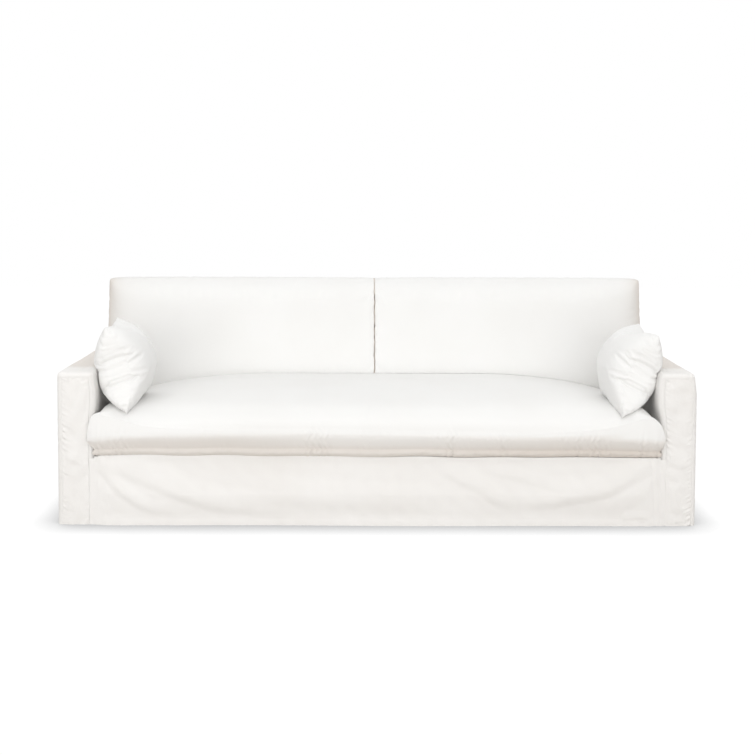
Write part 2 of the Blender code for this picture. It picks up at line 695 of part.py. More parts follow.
def pillow_place(pillow, side, u, v, w):
    """Place a point of a pillow's skin; u runs backwards, v upwards, w inwards."""
    pull_u = 1 - PILLOW_DRAW * 2 * (1 - v * v)
    pull_v = 1 - PILLOW_DRAW * 2 * (1 - u * u)
    a, b = (u * pull_u + 1) / 2, (v * pull_v + 1) / 2
    corners = [Vector(p) for p in (pillow.near_low, pillow.far_low,
                                   pillow.far_high, pillow.near_high)]
    low = corners[0].lerp(corners[1], a)
    high = corners[3].lerp(corners[2], a)
    point = low.lerp(high, b)
    backwards = (corners[1] - corners[0]) + (corners[2] - corners[3])
    upwards = (corners[3] - corners[0]) + (corners[2] - corners[1])
    inwards = backwards.cross(upwards).normalized()
    if inwards.x * side > 0:
        inwards = -inwards
    full = pillow_fullness(u, v, a, b, w > 0)
    if w > 0:
        depth = PILLOW_SEAM + pillow.inward * full
        point += inwards * depth
        point.z -= depth * inwards.z * lerp(PILLOW_SINK, 0.0, smooth(0, SINK_HEIGHT, b))
    else:
        point -= inwards * (PILLOW_SEAM + pillow.outward * full)
    point.x -= side * pillow.bow * 4 * b * (1 - b) * (1 - 0.5 * a)
    reach = ARM_CLEAR + ARM_OVERHANG * max(point.z - ARM_BRIM, 0.0)
    point.x = side * min(abs(point.x), reach)
    floor = seat_top(point.x, point.y) + PILLOW_SEAT_GAP
    point.z = max(point.z, floor + (PILLOW_SEAM if w > 0 else 0.0))
    return Vector((point.x, FRONT + point.y, point.z))


def build_pillows(material):
    """Make the two small knife-edge pillows that lean on the arms."""
    grid = [-1, -0.95, -0.86] + steps(-0.72, 0.72, 9) + [0.86, 0.95, 1]
    for side, word in SIDES:
        filled_form(f"pillow_{word}",
                    lambda u, v, w, s=side, p=PILLOWS[word]: pillow_place(p, s, u, v, w),
                    grid, grid, [-1, 1], material)


def main():
    """Clear the scene and build the cover, then the cushions."""
    for old in list(bpy.data.objects):
        bpy.data.objects.remove(old, do_unlink=True)
    cover = cloth_material("cover_cotton", COVER_WHITE)
    cushion = cloth_material("cushion_cotton", CUSHION_WHITE)
    build_front_drop(cover)
    for side, word in SIDES:
        build_arm(side, word, cover)
    build_deck(cover)
    build_back(cover)
    build_seat_cushion(cushion)
    build_back_cushions(cushion)
    build_pillows(cushion)


main()
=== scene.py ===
"""Looks of the slipcover set of a three-seat sofa with track arms.

The sewn body cover is built as thin sheets of washed cotton, one for each panel that a
maker would cut, with their swags, hems, seam puckers and stitches. The bench cushion, the
two back cushions and the two small pillows are filled forms, swollen by a short cloth
simulation and held at their seams.

Metres, +Z up, front towards -Y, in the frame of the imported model.
"""

from __future__ import annotations

import logging
import math
from dataclasses import dataclass, field, replace
from enum import Enum
from typing import Callable, Sequence

import bpy
import numpy as np
from mathutils import Euler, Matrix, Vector

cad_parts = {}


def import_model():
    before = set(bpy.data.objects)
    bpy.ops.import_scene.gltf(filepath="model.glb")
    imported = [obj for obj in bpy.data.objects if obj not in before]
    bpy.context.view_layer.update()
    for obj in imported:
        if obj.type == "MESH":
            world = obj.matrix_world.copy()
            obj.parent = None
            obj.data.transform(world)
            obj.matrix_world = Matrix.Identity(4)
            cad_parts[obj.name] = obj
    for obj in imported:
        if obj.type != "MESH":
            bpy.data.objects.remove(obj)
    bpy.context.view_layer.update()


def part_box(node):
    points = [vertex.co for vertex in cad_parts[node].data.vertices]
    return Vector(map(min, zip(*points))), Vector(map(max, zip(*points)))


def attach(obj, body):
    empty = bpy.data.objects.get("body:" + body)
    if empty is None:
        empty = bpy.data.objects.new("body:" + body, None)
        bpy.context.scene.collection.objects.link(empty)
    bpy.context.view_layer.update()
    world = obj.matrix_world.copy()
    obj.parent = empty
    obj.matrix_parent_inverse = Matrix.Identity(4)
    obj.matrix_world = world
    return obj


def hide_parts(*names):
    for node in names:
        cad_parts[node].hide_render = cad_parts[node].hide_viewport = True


LOG = logging.getLogger("slipcover")
BODY = "root"
UV_NAME = "cloth"
# Name of the point attribute that says how much painted shade each point takes.
PAINTED_SHADE_ATTRIBUTE = "toned"
QUARTER = math.pi / 2
Array = np.ndarray
Relief = Callable[[Array, Array], Array]
Pair = tuple[float, float]
Triple = tuple[float, float, float]
Piece = bpy.types.Object
Finish = bpy.types.Material
Socket = bpy.types.NodeSocket
Tree = bpy.types.NodeTree


# ---- small mathematics
def lerp(a: Array | float, b: Array | float, t: Array | float) -> Array | float:
    """Return the value a part t of the way from a to b."""
    return a + (b - a) * t


def smooth(low: float, high: float, value: Array | float) -> Array | float:
    """Return 0 below low, 1 above high, and a soft rise between them."""
    t = np.clip((value - low) / (high - low), 0.0, 1.0)
    return t * t * (3 - 2 * t)


def bell(distance: Array, reach: Array | float) -> Array:
    """Return a soft hump: 1 at no distance, 0 from the reach outwards."""
    t = np.minimum(np.abs(distance) / reach, 1.0)
    return (1 - t * t) ** 2


def stations(start: float, stop: float, pitch: float,
             fine: float = 0.0, fine_pitch: float = 0.0012) -> Array:
    """Space values evenly from start to stop, closer together near both ends.

    Args:
        start: The first value.
        stop: The last value.
        pitch: The spacing in the middle.
        fine: How far from each end the closer spacing goes, or 0 for none.
        fine_pitch: The spacing near the ends.

    Returns:
        The values, in order.
    """
    if not fine:
        return np.linspace(start, stop, max(round((stop - start) / pitch), 1) + 1)
    edge = fine_pitch * np.arange(max(round(fine / fine_pitch), 1))
    middle = stations(start + fine, stop - fine, pitch)
    return np.concatenate([start + edge, middle, (stop - edge)[::-1]])


# ---- unevenness of cloth
@dataclass(frozen=True)
class Ripple:
    """A seeded sum of waves along a line, between -1 and 1 or so."""

    seed: int
    spacing: float
    count: int = 7
    spread: float = 1.9

    def at(self, along: Array) -> Array:
        """Return the height of the waves at each distance along the line."""
        rng = np.random.default_rng(self.seed)
        lengths = self.spacing * self.spread ** rng.uniform(-1, 1, self.count)
        phases = rng.uniform(0, 2 * math.pi, self.count)
        total = sum(np.cos(2 * math.pi * along / length + phase)
                    for length, phase in zip(lengths, phases))
        return total / math.sqrt(self.count)


@dataclass(frozen=True)
class Swell:
    """A seeded sum of waves over a surface, between -1 and 1 or so."""

    seed: int
    shortest: float
    longest: float
    count: int = 22

    def at(self, s: Array, t: Array) -> Array:
        """Return the height of the waves at each place (s, t)."""
        rng = np.random.default_rng(self.seed)
        total = np.zeros_like(s, dtype=float)
        for _ in range(self.count):
            length = self.shortest * (self.longest / self.shortest) ** rng.uniform()
            angle, phase = rng.uniform(0, 2 * math.pi, 2)
            total += np.cos(2 * math.pi / length
                            * (s * math.cos(angle) + t * math.sin(angle)) + phase)
        return total / math.sqrt(self.count)


# Steps along the curve of a fold's crest.
CREST_STEPS = 48


@dataclass(frozen=True)
class Fold:
    """One soft fold of a hanging panel, along a curve on it.

    The cloth stands out by rise along the crest, falls away over above on its upper side
    and over below under it, and the fold fades in and out at its two ends. A negative
    rise makes a trough.
    """

    crest: tuple[Pair, ...]
    rise: float
    above: float
    below: float
    fade_in: float = 0.15
    fade_out: float = 0.35
    least: float = 0.15

    def trace(self) -> Array:
        """Return points on a smooth curve through the crest's own points."""
        points = np.array(self.crest)
        last = len(points) - 1
        at = np.linspace(0, last, CREST_STEPS + 1)
        i = np.minimum(at.astype(int), last - 1)
        f = (at - i)[:, None]
        p0, p1 = points[np.maximum(i - 1, 0)], points[i]
        p2, p3 = points[i + 1], points[np.minimum(i + 2, last)]
        return 0.5 * (2 * p1 + (p2 - p0) * f + (2 * p0 - 5 * p1 + 4 * p2 - p3) * f ** 2
                      + (3 * p1 - p0 - 3 * p2 + p3) * f ** 3)

    def relief(self, s: Array, t: Array) -> Array:
        """Return how far the fold stands out at each place (s, t)."""
        line = self.trace()
        start, step = line[:-1], np.diff(line, axis=0)
        best = np.full(s.shape, np.inf)
        share, side = np.zeros(s.shape), np.zeros(s.shape)
        for n, (origin, way) in enumerate(zip(start, step)):
            ds, dt = s - origin[0], t - origin[1]
            f = np.clip((ds * way[0] + dt * way[1]) / (way @ way), 0, 1)
            distance = np.hypot(ds - f * way[0], dt - f * way[1])
            nearer = distance < best
            best = np.where(nearer, distance, best)
            share = np.where(nearer, (n + f) / len(step), share)
            side = np.where(nearer, way[0] * dt - way[1] * ds, side)
        if line[-1][0] < line[0][0]:
            side = -side
        reach = np.where(side > 0, self.above, self.below)
        ends = smooth(0, self.fade_in, share) * smooth(0, self.fade_out, 1 - share)
        return self.rise * bell(best, reach) * np.maximum(ends, self.least)


def folded(folds: Sequence[Fold], s: Array, t: Array) -> Array:
    """Return how far several folds together stand out at each place (s, t)."""
    return sum(fold.relief(s, t) for fold in folds)


def hanging(crest: tuple[Pair, ...], depth: float, reach: float) -> Fold:
    """Return a soft trough that runs down to a free hem, the same on both its sides."""
    return Fold(crest=crest, rise=-depth, above=reach, below=reach, fade_out=0.05)


@dataclass(frozen=True)
class Puckers:
    """Short gathers that a seam draws up across itself.

    The ridges are spaced along the seam, lean by lean metres for each metre away from
    it, and die away over reach. Each patch is (centre, half width, strength) along the
    seam, on top of the strength that the whole seam has.
    """

    seed: int
    spacing: float
    height: float
    reach: float
    lean: float = 0.0
    base: float = 0.35
    patches: tuple[Triple, ...] = ()
    root: float = 0.003

    def relief(self, along: Array, away: Array) -> Array:
        """Return the height of the gathers.

        Args:
            along: Distance along the seam.
            away: Distance from the seam, never negative.

        Returns:
            The relief at each place.
        """
        strength = self.base * (0.65 + 0.5 * Ripple(self.seed + 1, self.spacing * 7).at(along))
        for centre, half, extra in self.patches:
            strength = strength + extra * bell(along - centre, half)
        ridges = Ripple(self.seed, self.spacing, count=5, spread=1.5).at(
            along + self.lean * away)
        uneven = 0.6 + 0.4 * Ripple(self.seed + 2, self.spacing * 1.7).at(along)
        fade = np.exp(-(away / (self.reach * np.maximum(uneven, 0.25))) ** 1.4)
        return self.height * np.maximum(strength, 0) * ridges * fade * smooth(0, self.root, away)


# ---- meshes
def mesh_object(name: str, points: Array, quads: Array, flat: Array) -> Piece:
    """Make a smooth-shaded object at the origin from points and four-sided faces.

    Args:
        name: The object's name.
        points: One place for each point.
        quads: Four point numbers for each face, turned outwards.
        flat: A place on the flat cloth for each corner of each face, in metres.

    Returns:
        The object, linked to the scene.
    """
    mesh = bpy.data.meshes.new(name)
    mesh.vertices.add(len(points))
    mesh.vertices.foreach_set("co", np.ascontiguousarray(points, dtype=np.float32).ravel())
    mesh.loops.add(quads.size)
    mesh.loops.foreach_set("vertex_index", quads.astype(np.int32).ravel())
    mesh.polygons.add(len(quads))
    mesh.polygons.foreach_set("loop_start", np.arange(0, quads.size, 4, dtype=np.int32))
    mesh.update(calc_edges=True)
    mesh.polygons.foreach_set("use_smooth", np.ones(len(quads), dtype=bool))
    layer = mesh.uv_layers.new(name=UV_NAME)
    layer.data.foreach_set("uv", np.ascontiguousarray(flat, dtype=np.float32).ravel())
    mesh.validate()
    made = bpy.data.objects.new(name, mesh)
    bpy.context.collection.objects.link(made)
    return made


def part_cut_edges(made: Piece, walls: int) -> None:
    """Shade the cut edges of a sheet apart from its two faces.

    Args:
        made: The sheet, whose last faces are its cut edges, all round.
        walls: How many faces the cut edges have.
    """
    mesh = made.data
    edges = np.empty(len(mesh.loops), dtype=np.int32)
    mesh.loops.foreach_get("edge_index", edges)
    sharp = np.zeros(len(mesh.edges), dtype=bool)
    sharp[edges[-4 * walls:].reshape(-1, 4)[:, ::2].ravel()] = True
    mesh.edges.foreach_set("use_edge_sharp", sharp)


def grid_quads(rows: int, columns: int) -> Array:
    """Return the faces of a grid of points that is stored row after row."""
    corner = (np.arange(rows - 1)[:, None] * columns + np.arange(columns - 1)).ravel()
    return np.stack([corner, corner + 1, corner + columns + 1, corner + columns], axis=1)


def grid_normals(points: Array) -> Array:
    """Return the unit normal at each point of a grid of points."""
    across = np.gradient(points, axis=1)
    up = np.gradient(points, axis=0)
    normal = np.cross(across, up)
    return normal / np.maximum(np.linalg.norm(normal, axis=2, keepdims=True), 1e-12)


def no_relief(s: Array, _t: Array) -> Array:
    """Return the relief of a cloth that lies flat."""
    return np.zeros_like(s)


@dataclass
class Panel:
    """One cut panel of cloth on a surface, as thick as the cloth, inwards from it."""

    node: str
    surface: Relief
    across: Array
    up: Array
    facing: Triple
    relief: Relief = no_relief
    cloth: float = 0.0025
    hem: float = 0.0
    hem_extra: float = 0.001
    edge_sink: float = 0.0005
    edge_width: float = 0.004
    sewn: str = "lrt"

    def edge_roll(self, s: Array, t: Array) -> Array:
        """Return how far the cloth sinks into the seams along its sewn edges."""
        distance = {"l": s - self.across[0], "r": self.across[-1] - s,
                    "b": t - self.up[0], "t": self.up[-1] - t}
        nearest = np.full(s.shape, 1.0)
        for edge in self.sewn:
            nearest = np.minimum(nearest, distance[edge])
        return -self.edge_sink * np.exp(-(nearest / self.edge_width) ** 2)

    def line_at(self, height: float, above: float) -> Array:
        """Return places along the panel at one height of its cloth, just above it."""
        margin, pitch = 0.004, 0.003
        across = stations(self.across[0] + margin, self.across[-1] - margin, pitch)
        s, t = np.meshgrid(across, height * np.array([0.97, 1.0, 1.03]))
        base = self.surface(s, t)
        normal = grid_normals(base)
        sign = 1.0 if normal[1, len(across) // 2] @ np.array(self.facing) > 0 else -1.0
        lift = self.relief(s, t) + self.edge_roll(s, t) + above
        return (base + normal * sign * lift[..., None])[1]

    def build(self) -> Piece:
        """Make the panel as one closed sheet.

        Returns:
            The new object.
        """
        s, t = np.meshgrid(self.across, self.up)
        base = self.surface(s, t)
        normal = grid_normals(base)
        middle = normal[normal.shape[0] // 2, normal.shape[1] // 2]
        sign = 1.0 if middle @ np.array(self.facing) > 0 else -1.0
        lift = self.relief(s, t) + self.edge_roll(s, t)
        outer = base + normal * sign * lift[..., None]
        layers = self.cloth + self.hem_extra * (t < self.hem)
        inner = outer - grid_normals(outer) * sign * layers[..., None]
        rows, columns = s.shape
        count = rows * columns
        front = grid_quads(rows, columns)
        numbers = np.arange(count).reshape(rows, columns)
        rim = np.concatenate([numbers[0, :-1], numbers[:-1, -1],
                              numbers[-1, :0:-1], numbers[:0:-1, 0]])
        after = np.roll(rim, -1)
        wall = np.stack([after, rim, rim + count, after + count], axis=1)
        quads = np.concatenate([front, front[:, ::-1] + count, wall])
        if sign < 0:
            quads = quads[:, ::-1]
        flat = np.stack([s.ravel(), t.ravel()], axis=1)
        corner = np.concatenate([flat, flat])[quads]
        points = np.concatenate([outer.reshape(-1, 3), inner.reshape(-1, 3)])
        points[:, 2] = np.maximum(points[:, 2], 0.0)
        made = mesh_object(f"{self.node}_cotton", points, quads, corner)
        part_cut_edges(made, len(wall))
        return made


@dataclass
class FilledForm:
    """A cushion as the skin of a block of cells, bent into shape by place(u, v, w)."""

    name: str
    place: Callable[[Array, Array, Array], Array]
    across: Array
    along: Array
    through: Array
    cells: tuple[Array, Array, Array] = field(init=False, repr=False)

    def flat_lengths(self) -> tuple[Array, Array, Array]:
        """Measure the cloth along the three directions, through the front's middle.

        Returns:
            For each direction, the distance along the cloth at each of its values.
        """
        middle = self.across[len(self.across) // 2]
        lines = ((self.across, self.along[len(self.along) // 2], 1.0),
                 (middle, self.along, 1.0), (middle, self.along[0], self.through))
        lengths = []
        for line in lines:
            places = self.place(*np.broadcast_arrays(*line))
            steps = np.linalg.norm(np.diff(places, axis=0), axis=1)
            lengths.append(np.concatenate([[0.0], np.cumsum(steps)]))
        return tuple(lengths)

    def build(self) -> Piece:
        """Make the skin of the cushion as one closed mesh.

        Returns:
            The new object.
        """
        shape = (len(self.across), len(self.along), len(self.through))
        i, j, k = np.indices(shape)
        skin = np.zeros(shape, dtype=bool)
        for axis, n in enumerate((i, j, k)):
            skin |= (n == 0) | (n == shape[axis] - 1)
        index = np.full(shape, -1)
        index[skin] = np.arange(skin.sum())
        self.cells = (self.across[i[skin]], self.along[j[skin]], self.through[k[skin]])
        points = self.place(*self.cells)
        lengths = [length[n[skin]] for length, n in zip(self.flat_lengths(), (i, j, k))]
        faces, corners = [], []
        for axis in range(3):
            first, second = [n for n in range(3) if n != axis]
            for end in (0, shape[axis] - 1):
                face = np.take(index, end, axis=axis)
                quads = np.stack([face[:-1, :-1], face[1:, :-1], face[1:, 1:],
                                  face[:-1, 1:]], axis=-1).reshape(-1, 4)
                if (end == 0) != (axis == 1):
                    quads = quads[:, ::-1]
                faces.append(quads)
                corners.append(np.stack([lengths[first][quads], lengths[second][quads]],
                                        axis=-1))
        quads, flat = np.concatenate(faces), np.concatenate(corners)
        a, b, c = points[quads[:, 0]], points[quads[:, 1]], points[quads[:, 2]]
        if np.einsum("ij,ij->i", a, np.cross(b, c)).sum() < 0:
            quads, flat = quads[:, ::-1], flat[:, ::-1]
        return mesh_object(self.name, points, quads, flat)


def points_of(obj: Piece, what: str = "co") -> Array:
    """Return the places of an object's points, or their normals."""
    values = np.empty(len(obj.data.vertices) * 3, dtype=np.float32)
    obj.data.vertices.foreach_get(what, values)
    return values.reshape(-1, 3).astype(float)


def set_points(obj: Piece, points: Array) -> None:
    """Move an object's points to new places."""
    obj.data.vertices.foreach_set("co", points.astype(np.float32).ravel())
    obj.data.update()


def paint_shade(obj: Piece, share: Array) -> None:
    """Store how far each point of an object takes its cloth's painted shade: a darker, warmer
    colour that stands in for shade.
    """
    layer = obj.data.attributes.new(PAINTED_SHADE_ATTRIBUTE, "FLOAT", "POINT")
    layer.data.foreach_set("value", np.clip(share, 0, 1).astype(np.float32))


def subdivide(obj: Piece) -> None:
    """Smooth an object by one subdivision and keep the result as its plain mesh."""
    modifier = obj.modifiers.new("smoothing", "SUBSURF")
    modifier.levels = modifier.render_levels = 1
    keep_evaluated(obj)


def keep_evaluated(obj: Piece) -> None:
    """Turn what an object's modifiers make into its own mesh and remove them."""
    graph = bpy.context.evaluated_depsgraph_get()
    made = bpy.data.meshes.new_from_object(obj.evaluated_get(graph), depsgraph=graph)
    old = obj.data
    obj.modifiers.clear()
    obj.data = made
    made.name = obj.name
    bpy.data.meshes.remove(old)


def dress(made: Piece, finish: Finish,
          node: str) -> None:
    made.data.materials.append(finish)
    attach(made, BODY)
    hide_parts(node)
    LOG.info("%s: %d faces", made.name, len(made.data.polygons))


# ---- filling
def blown_up(obj: Piece, frames: int, stiffness: float, pressure: float,
             **settings: float | str) -> Array:
    """Fill a sewn skin by the pressure in a cloth simulation.

    Args:
        obj: The skin, which keeps its own points.
        frames: How many steps the simulation takes.
        stiffness: How much the cloth resists pulling and pushing.
        pressure: How hard the filling presses.
        settings: More of the cloth's own settings.

    Returns:
        Where the object's points are after the last step.
    """
    modifier = obj.modifiers.new("filling", "CLOTH")
    cloth = modifier.settings
    cloth.tension_stiffness = cloth.compression_stiffness = stiffness
    cloth.use_pressure = True
    cloth.uniform_pressure_force = pressure
    for name, value in settings.items():
        setattr(cloth, name, value)
    cloth.effector_weights.gravity = 0.0
    modifier.collision_settings.use_collision = False
    scene = bpy.context.scene
    for frame in range(1, frames + 1):
        scene.frame_set(frame)
    places = points_of(obj.evaluated_get(bpy.context.evaluated_depsgraph_get()))
    obj.modifiers.clear()
    obj.vertex_groups.clear()
    scene.frame_set(1)
    return places


@dataclass(frozen=True)
class Filling:
    """A short cloth simulation that swells a cushion's skin against its seams.

    The cloth is a little larger than the form that it starts on, by growth, so it
    wrinkles where its seams hold it. No point moves further than cap.
    """

    pressure: float = 4.0
    frames: int = 20
    cap: float = 0.008
    growth: float = 0.02
    bending: float = 0.4
    stiffness: float = 12.0

    def swell(self, obj: Piece, held: Array) -> None:
        """Run the simulation and keep its result in the object's mesh.

        Args:
            obj: The cushion's skin.
            held: How firmly each point is held, from 0 to 1.
        """
        start = points_of(obj)
        group = obj.vertex_groups.new(name="held")
        for level in np.unique(np.round(held, 2)):
            if level > 0:
                chosen = np.flatnonzero(np.round(held, 2) == level)
                group.add(chosen.tolist(), float(level), "REPLACE")
        moved = blown_up(obj, self.frames, self.stiffness, self.pressure,
                         quality=5, mass=0.25, shear_stiffness=self.stiffness / 3,
                         bending_stiffness=self.bending, shrink_min=-self.growth,
                         vertex_group_mass=group.name) - start
        length = np.maximum(np.linalg.norm(moved, axis=1, keepdims=True), 1e-9)
        set_points(obj, start + moved * (self.cap * np.tanh(length / self.cap) / length))
        LOG.info("%s swelled by up to %.1f mm before the cap", obj.name, 1000 * length.max())


# ---- sizes of the cover
class Side(Enum):
    """An end of the sofa, as the sign of x there."""

    LEFT = -1
    RIGHT = 1

    def of(self, piece: str) -> str:
        """Return the name of this side's own one of a pair of pieces."""
        return f"{piece}_{self.name.lower()}"


@dataclass(frozen=True)
class CoverSizes:
    """The body cover's main sizes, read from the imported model."""

    half: float
    front: float
    back: float
    arm_height: float
    arm_inside: float
    deck_height: float
    back_height: float
    cloth: float = 0.0025
    seam_gap: float = 0.0003
    seam_inset: float = 0.019
    arm_round: float = 0.016
    arm_edge: float = 0.014
    deck_round: float = 0.006
    drop_below_deck: float = 0.0005
    back_depth: float = 0.09
    seat_depth: float = 0.86
    hem_width: float = 0.03
    hem_extra: float = 0.001

    @classmethod
    def from_frame(cls) -> CoverSizes:
        """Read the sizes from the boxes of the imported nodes."""
        arm_low, arm_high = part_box("arm_top_right")
        _, back_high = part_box("back_top")
        _, deck_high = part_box("deck")
        return cls(half=arm_high.x, front=arm_low.y, back=back_high.y,
                   arm_height=arm_high.z, arm_inside=arm_low.x,
                   deck_height=deck_high.z, back_height=back_high.z)

    @property
    def inner_seam(self) -> float:
        """Return the x of the seam between an arm front and its inside panel."""
        return self.arm_inside + self.seam_inset

    @property
    def outer_seam(self) -> float:
        """Return the x of the seam between an arm front and its outside panel."""
        return self.half - self.seam_inset

    @property
    def skirt_top(self) -> float:
        """Return the height of the seam at the top of the front drop."""
        return self.deck_height - self.deck_round - self.drop_below_deck

    @property
    def arm_under(self) -> float:
        """Return the height under an arm's top panel."""
        return self.arm_height - self.cloth - self.seam_gap

    @property
    def deck_under(self) -> float:
        """Return the height under the deck."""
        return self.deck_height - self.cloth

    @property
    def back_under(self) -> float:
        """Return the height under the strip over the back."""
        return self.back_height - self.cloth - self.seam_gap

    @property
    def back_lean(self) -> float:
        """Return how far the inside back leans for each metre up."""
        depth = self.back - self.front
        return (depth - self.back_depth - self.seat_depth) / (self.back_height - self.deck_height)

    def inside_back(self, z: Array | float) -> Array | float:
        """Return the y of the leaning inside back at height z."""
        return self.front + self.seat_depth + (z - self.deck_height) * self.back_lean


# ---- node trees
WHITE = (1, 1, 1, 1)
# The colour sockets of a Mix node, by number.
MIX_FIRST, MIX_SECOND, MIX_RESULT = 6, 7, 2


def fill_inputs(tree: Tree, node: bpy.types.Node, inputs: dict[str | int, object]) -> None:
    """Set inputs of a node, by name or number, to values or to what a socket gives."""
    for key, value in inputs.items():
        if isinstance(value, Socket):
            tree.links.new(value, node.inputs[key])
        else:
            node.inputs[key].default_value = value


def add_node(tree: Tree, kind: str, inputs: dict[str | int, object] | None = None,
             **settings: str | int) -> bpy.types.Node:
    """Add a node to a tree.

    Args:
        tree: The tree to add to.
        kind: The kind of node.
        inputs: What its inputs take, by name or number: values or sockets.
        settings: Its own settings.

    Returns:
        The new node.
    """
    node = tree.nodes.new(kind)
    for name, value in settings.items():
        setattr(node, name, value)
    fill_inputs(tree, node, inputs or {})
    return node


def new_material(name: str) -> tuple[Finish, Tree, bpy.types.Node]:
    """Make a material and return it with its tree and its shader."""
    material = bpy.data.materials.new(name)
    material.use_nodes = True
    return material, material.node_tree, material.node_tree.nodes["Principled BSDF"]


# ---- cotton
@dataclass(frozen=True)
class Cotton:
    """A washed plain-weave cotton."""

    name: str
    colour: Triple
    hollow_colour: Triple
    thread: float = 0.0009
    weave_depth: float = 0.0001
    slub_depth: float = 0.00022
    crumple_depth: float = 0.0012
    crumple_scale: float = 17.0
    roughness: Pair = (0.82, 0.96)
    sheen: float = 0.12
    sheen_roughness: float = 0.5
    # Colour multiplied in as painted shade where a mesh's painted-shade attribute asks for it.
    toned: Triple = (0.77, 0.7, 0.64)

    def material(self) -> Finish:
        """Make the material.

        Returns:
            A node material that reads the cloth's own flat coordinates.
        """
        material, tree, shader = new_material(self.name)
        flat = add_node(tree, "ShaderNodeUVMap", uv_map=UV_NAME).outputs["UV"]
        place = add_node(tree, "ShaderNodeTexCoord").outputs["Object"]
        patches = self._noise(tree, place, (1, 1, 1), 3.1, 3.0)
        slubs = self._noise(tree, flat, (55, 900, 1), 1.0, 2.0)
        crumple = self._noise(tree, place, (1, 1, 1), self.crumple_scale, 2.5, distortion=0.8)
        rough = add_node(tree, "ShaderNodeMapRange", {
            "Value": slubs, "To Min": self.roughness[0], "To Max": self.roughness[1]})
        normal = self._bump(tree, crumple, self.crumple_depth)
        normal = self._bump(tree, slubs, self.slub_depth, normal)
        normal = self._bump(tree, self._weave(tree, flat), self.weave_depth, normal)
        fill_inputs(tree, shader, {
            "Metallic": 0.0, "IOR": 1.46, "Specular IOR Level": 0.25,
            "Sheen Weight": self.sheen, "Sheen Roughness": self.sheen_roughness,
            "Base Color": self._tone(tree, self._mix(tree, patches)),
            "Roughness": rough.outputs["Result"], "Normal": normal})
        return material

    def _tone(self, tree: Tree, colour: Socket) -> Socket:
        """Multiply in the painted shade, darker and warmer, where the mesh's painted-shade
        attribute says so, and return the result.
        """
        share = add_node(tree, "ShaderNodeAttribute", attribute_name=PAINTED_SHADE_ATTRIBUTE)
        return add_node(tree, "ShaderNodeMix", {
            0: share.outputs["Fac"], MIX_FIRST: colour, MIX_SECOND: (*self.toned, 1)},
            data_type="RGBA", blend_type="MULTIPLY").outputs[MIX_RESULT]

    @staticmethod
    def _noise(tree: Tree, source: Socket, stretch: Triple, scale: float, detail: float,
               distortion: float = 0.0) -> Socket:
        """Add a noise on stretched coordinates and return its value."""
        mapping = add_node(tree, "ShaderNodeMapping", {"Vector": source, "Scale": stretch})
        return add_node(tree, "ShaderNodeTexNoise", {
            "Vector": mapping.outputs["Vector"], "Scale": scale, "Detail": detail,
            "Distortion": distortion}).outputs["Fac"]

    def _mix(self, tree: Tree, factor: Socket) -> Socket:
        """Add a mix of the cloth's two colours by a noise and return its colour."""
        ramp = add_node(tree, "ShaderNodeValToRGB", {"Fac": factor})
        stops = ((0.35, self.colour), (0.7, self.hollow_colour))
        for element, (position, colour) in zip(ramp.color_ramp.elements, stops):
            element.position = position
            element.color = (*colour, 1)
        return ramp.outputs["Color"]

    @staticmethod
    def _bump(tree: Tree, height: Socket, depth: float, below: Socket | None = None) -> Socket:
        """Add a bump of a height in metres over an earlier one and return its normal."""
        inputs = {"Strength": 1.0, "Distance": depth, "Height": height}
        if below is not None:
            inputs["Normal"] = below
        return add_node(tree, "ShaderNodeBump", inputs).outputs["Normal"]

    def _weave(self, tree: Tree, flat: Socket) -> Socket:
        """Add threads that pass over and under each other and return their height."""
        split = add_node(tree, "ShaderNodeSeparateXYZ", {"Vector": flat})

        def math_node(operation: str, first: Socket, second: Socket | float = 0.0) -> Socket:
            """Add one Math node and return its value."""
            return add_node(tree, "ShaderNodeMath", {0: first, 1: second},
                            operation=operation).outputs[0]

        turns = math.pi / self.thread
        waves = [math_node("SINE", math_node("MULTIPLY", split.outputs[axis], turns))
                 for axis in ("X", "Y")]
        crossing = math_node("MULTIPLY", waves[0], waves[1])
        ridges = math_node("ADD", math_node("ABSOLUTE", waves[0]),
                           math_node("ABSOLUTE", waves[1]))
        return math_node("ADD", crossing, ridges)


@dataclass(frozen=True)
class Thread:
    """A twisted sewing thread."""

    name: str
    colour: Triple
    roughness: float = 0.75
    twist_scale: float = 900.0
    twist_depth: float = 0.0001

    def material(self) -> Finish:
        """Make the material."""
        material, tree, shader = new_material(self.name)
        place = add_node(tree, "ShaderNodeTexCoord")
        twist = add_node(tree, "ShaderNodeTexWave", {
            "Vector": place.outputs["Object"], "Scale": self.twist_scale},
            bands_direction="DIAGONAL")
        bump = add_node(tree, "ShaderNodeBump", {
            "Height": twist.outputs["Fac"], "Distance": self.twist_depth})
        fill_inputs(tree, shader, {
            "Base Color": (*self.colour, 1), "Roughness": self.roughness,
            "Normal": bump.outputs["Normal"]})
        return material


COVER_COTTON = Cotton("cover_cotton", colour=(0.862, 0.847, 0.825),
                      hollow_colour=(0.838, 0.819, 0.792))
SEAT_COTTON = Cotton("seat_cotton", colour=(0.868, 0.864, 0.85),
                     hollow_colour=(0.85, 0.844, 0.826), crumple_depth=0.0007)
BACK_COTTON = replace(SEAT_COTTON, name="back_cotton")
PILLOW_COTTON = Cotton("pillow_cotton", colour=(0.872, 0.868, 0.855),
                       hollow_colour=(0.85, 0.845, 0.83), crumple_depth=0.0008)
THREAD = Thread("hem_thread", colour=(0.8, 0.782, 0.752))


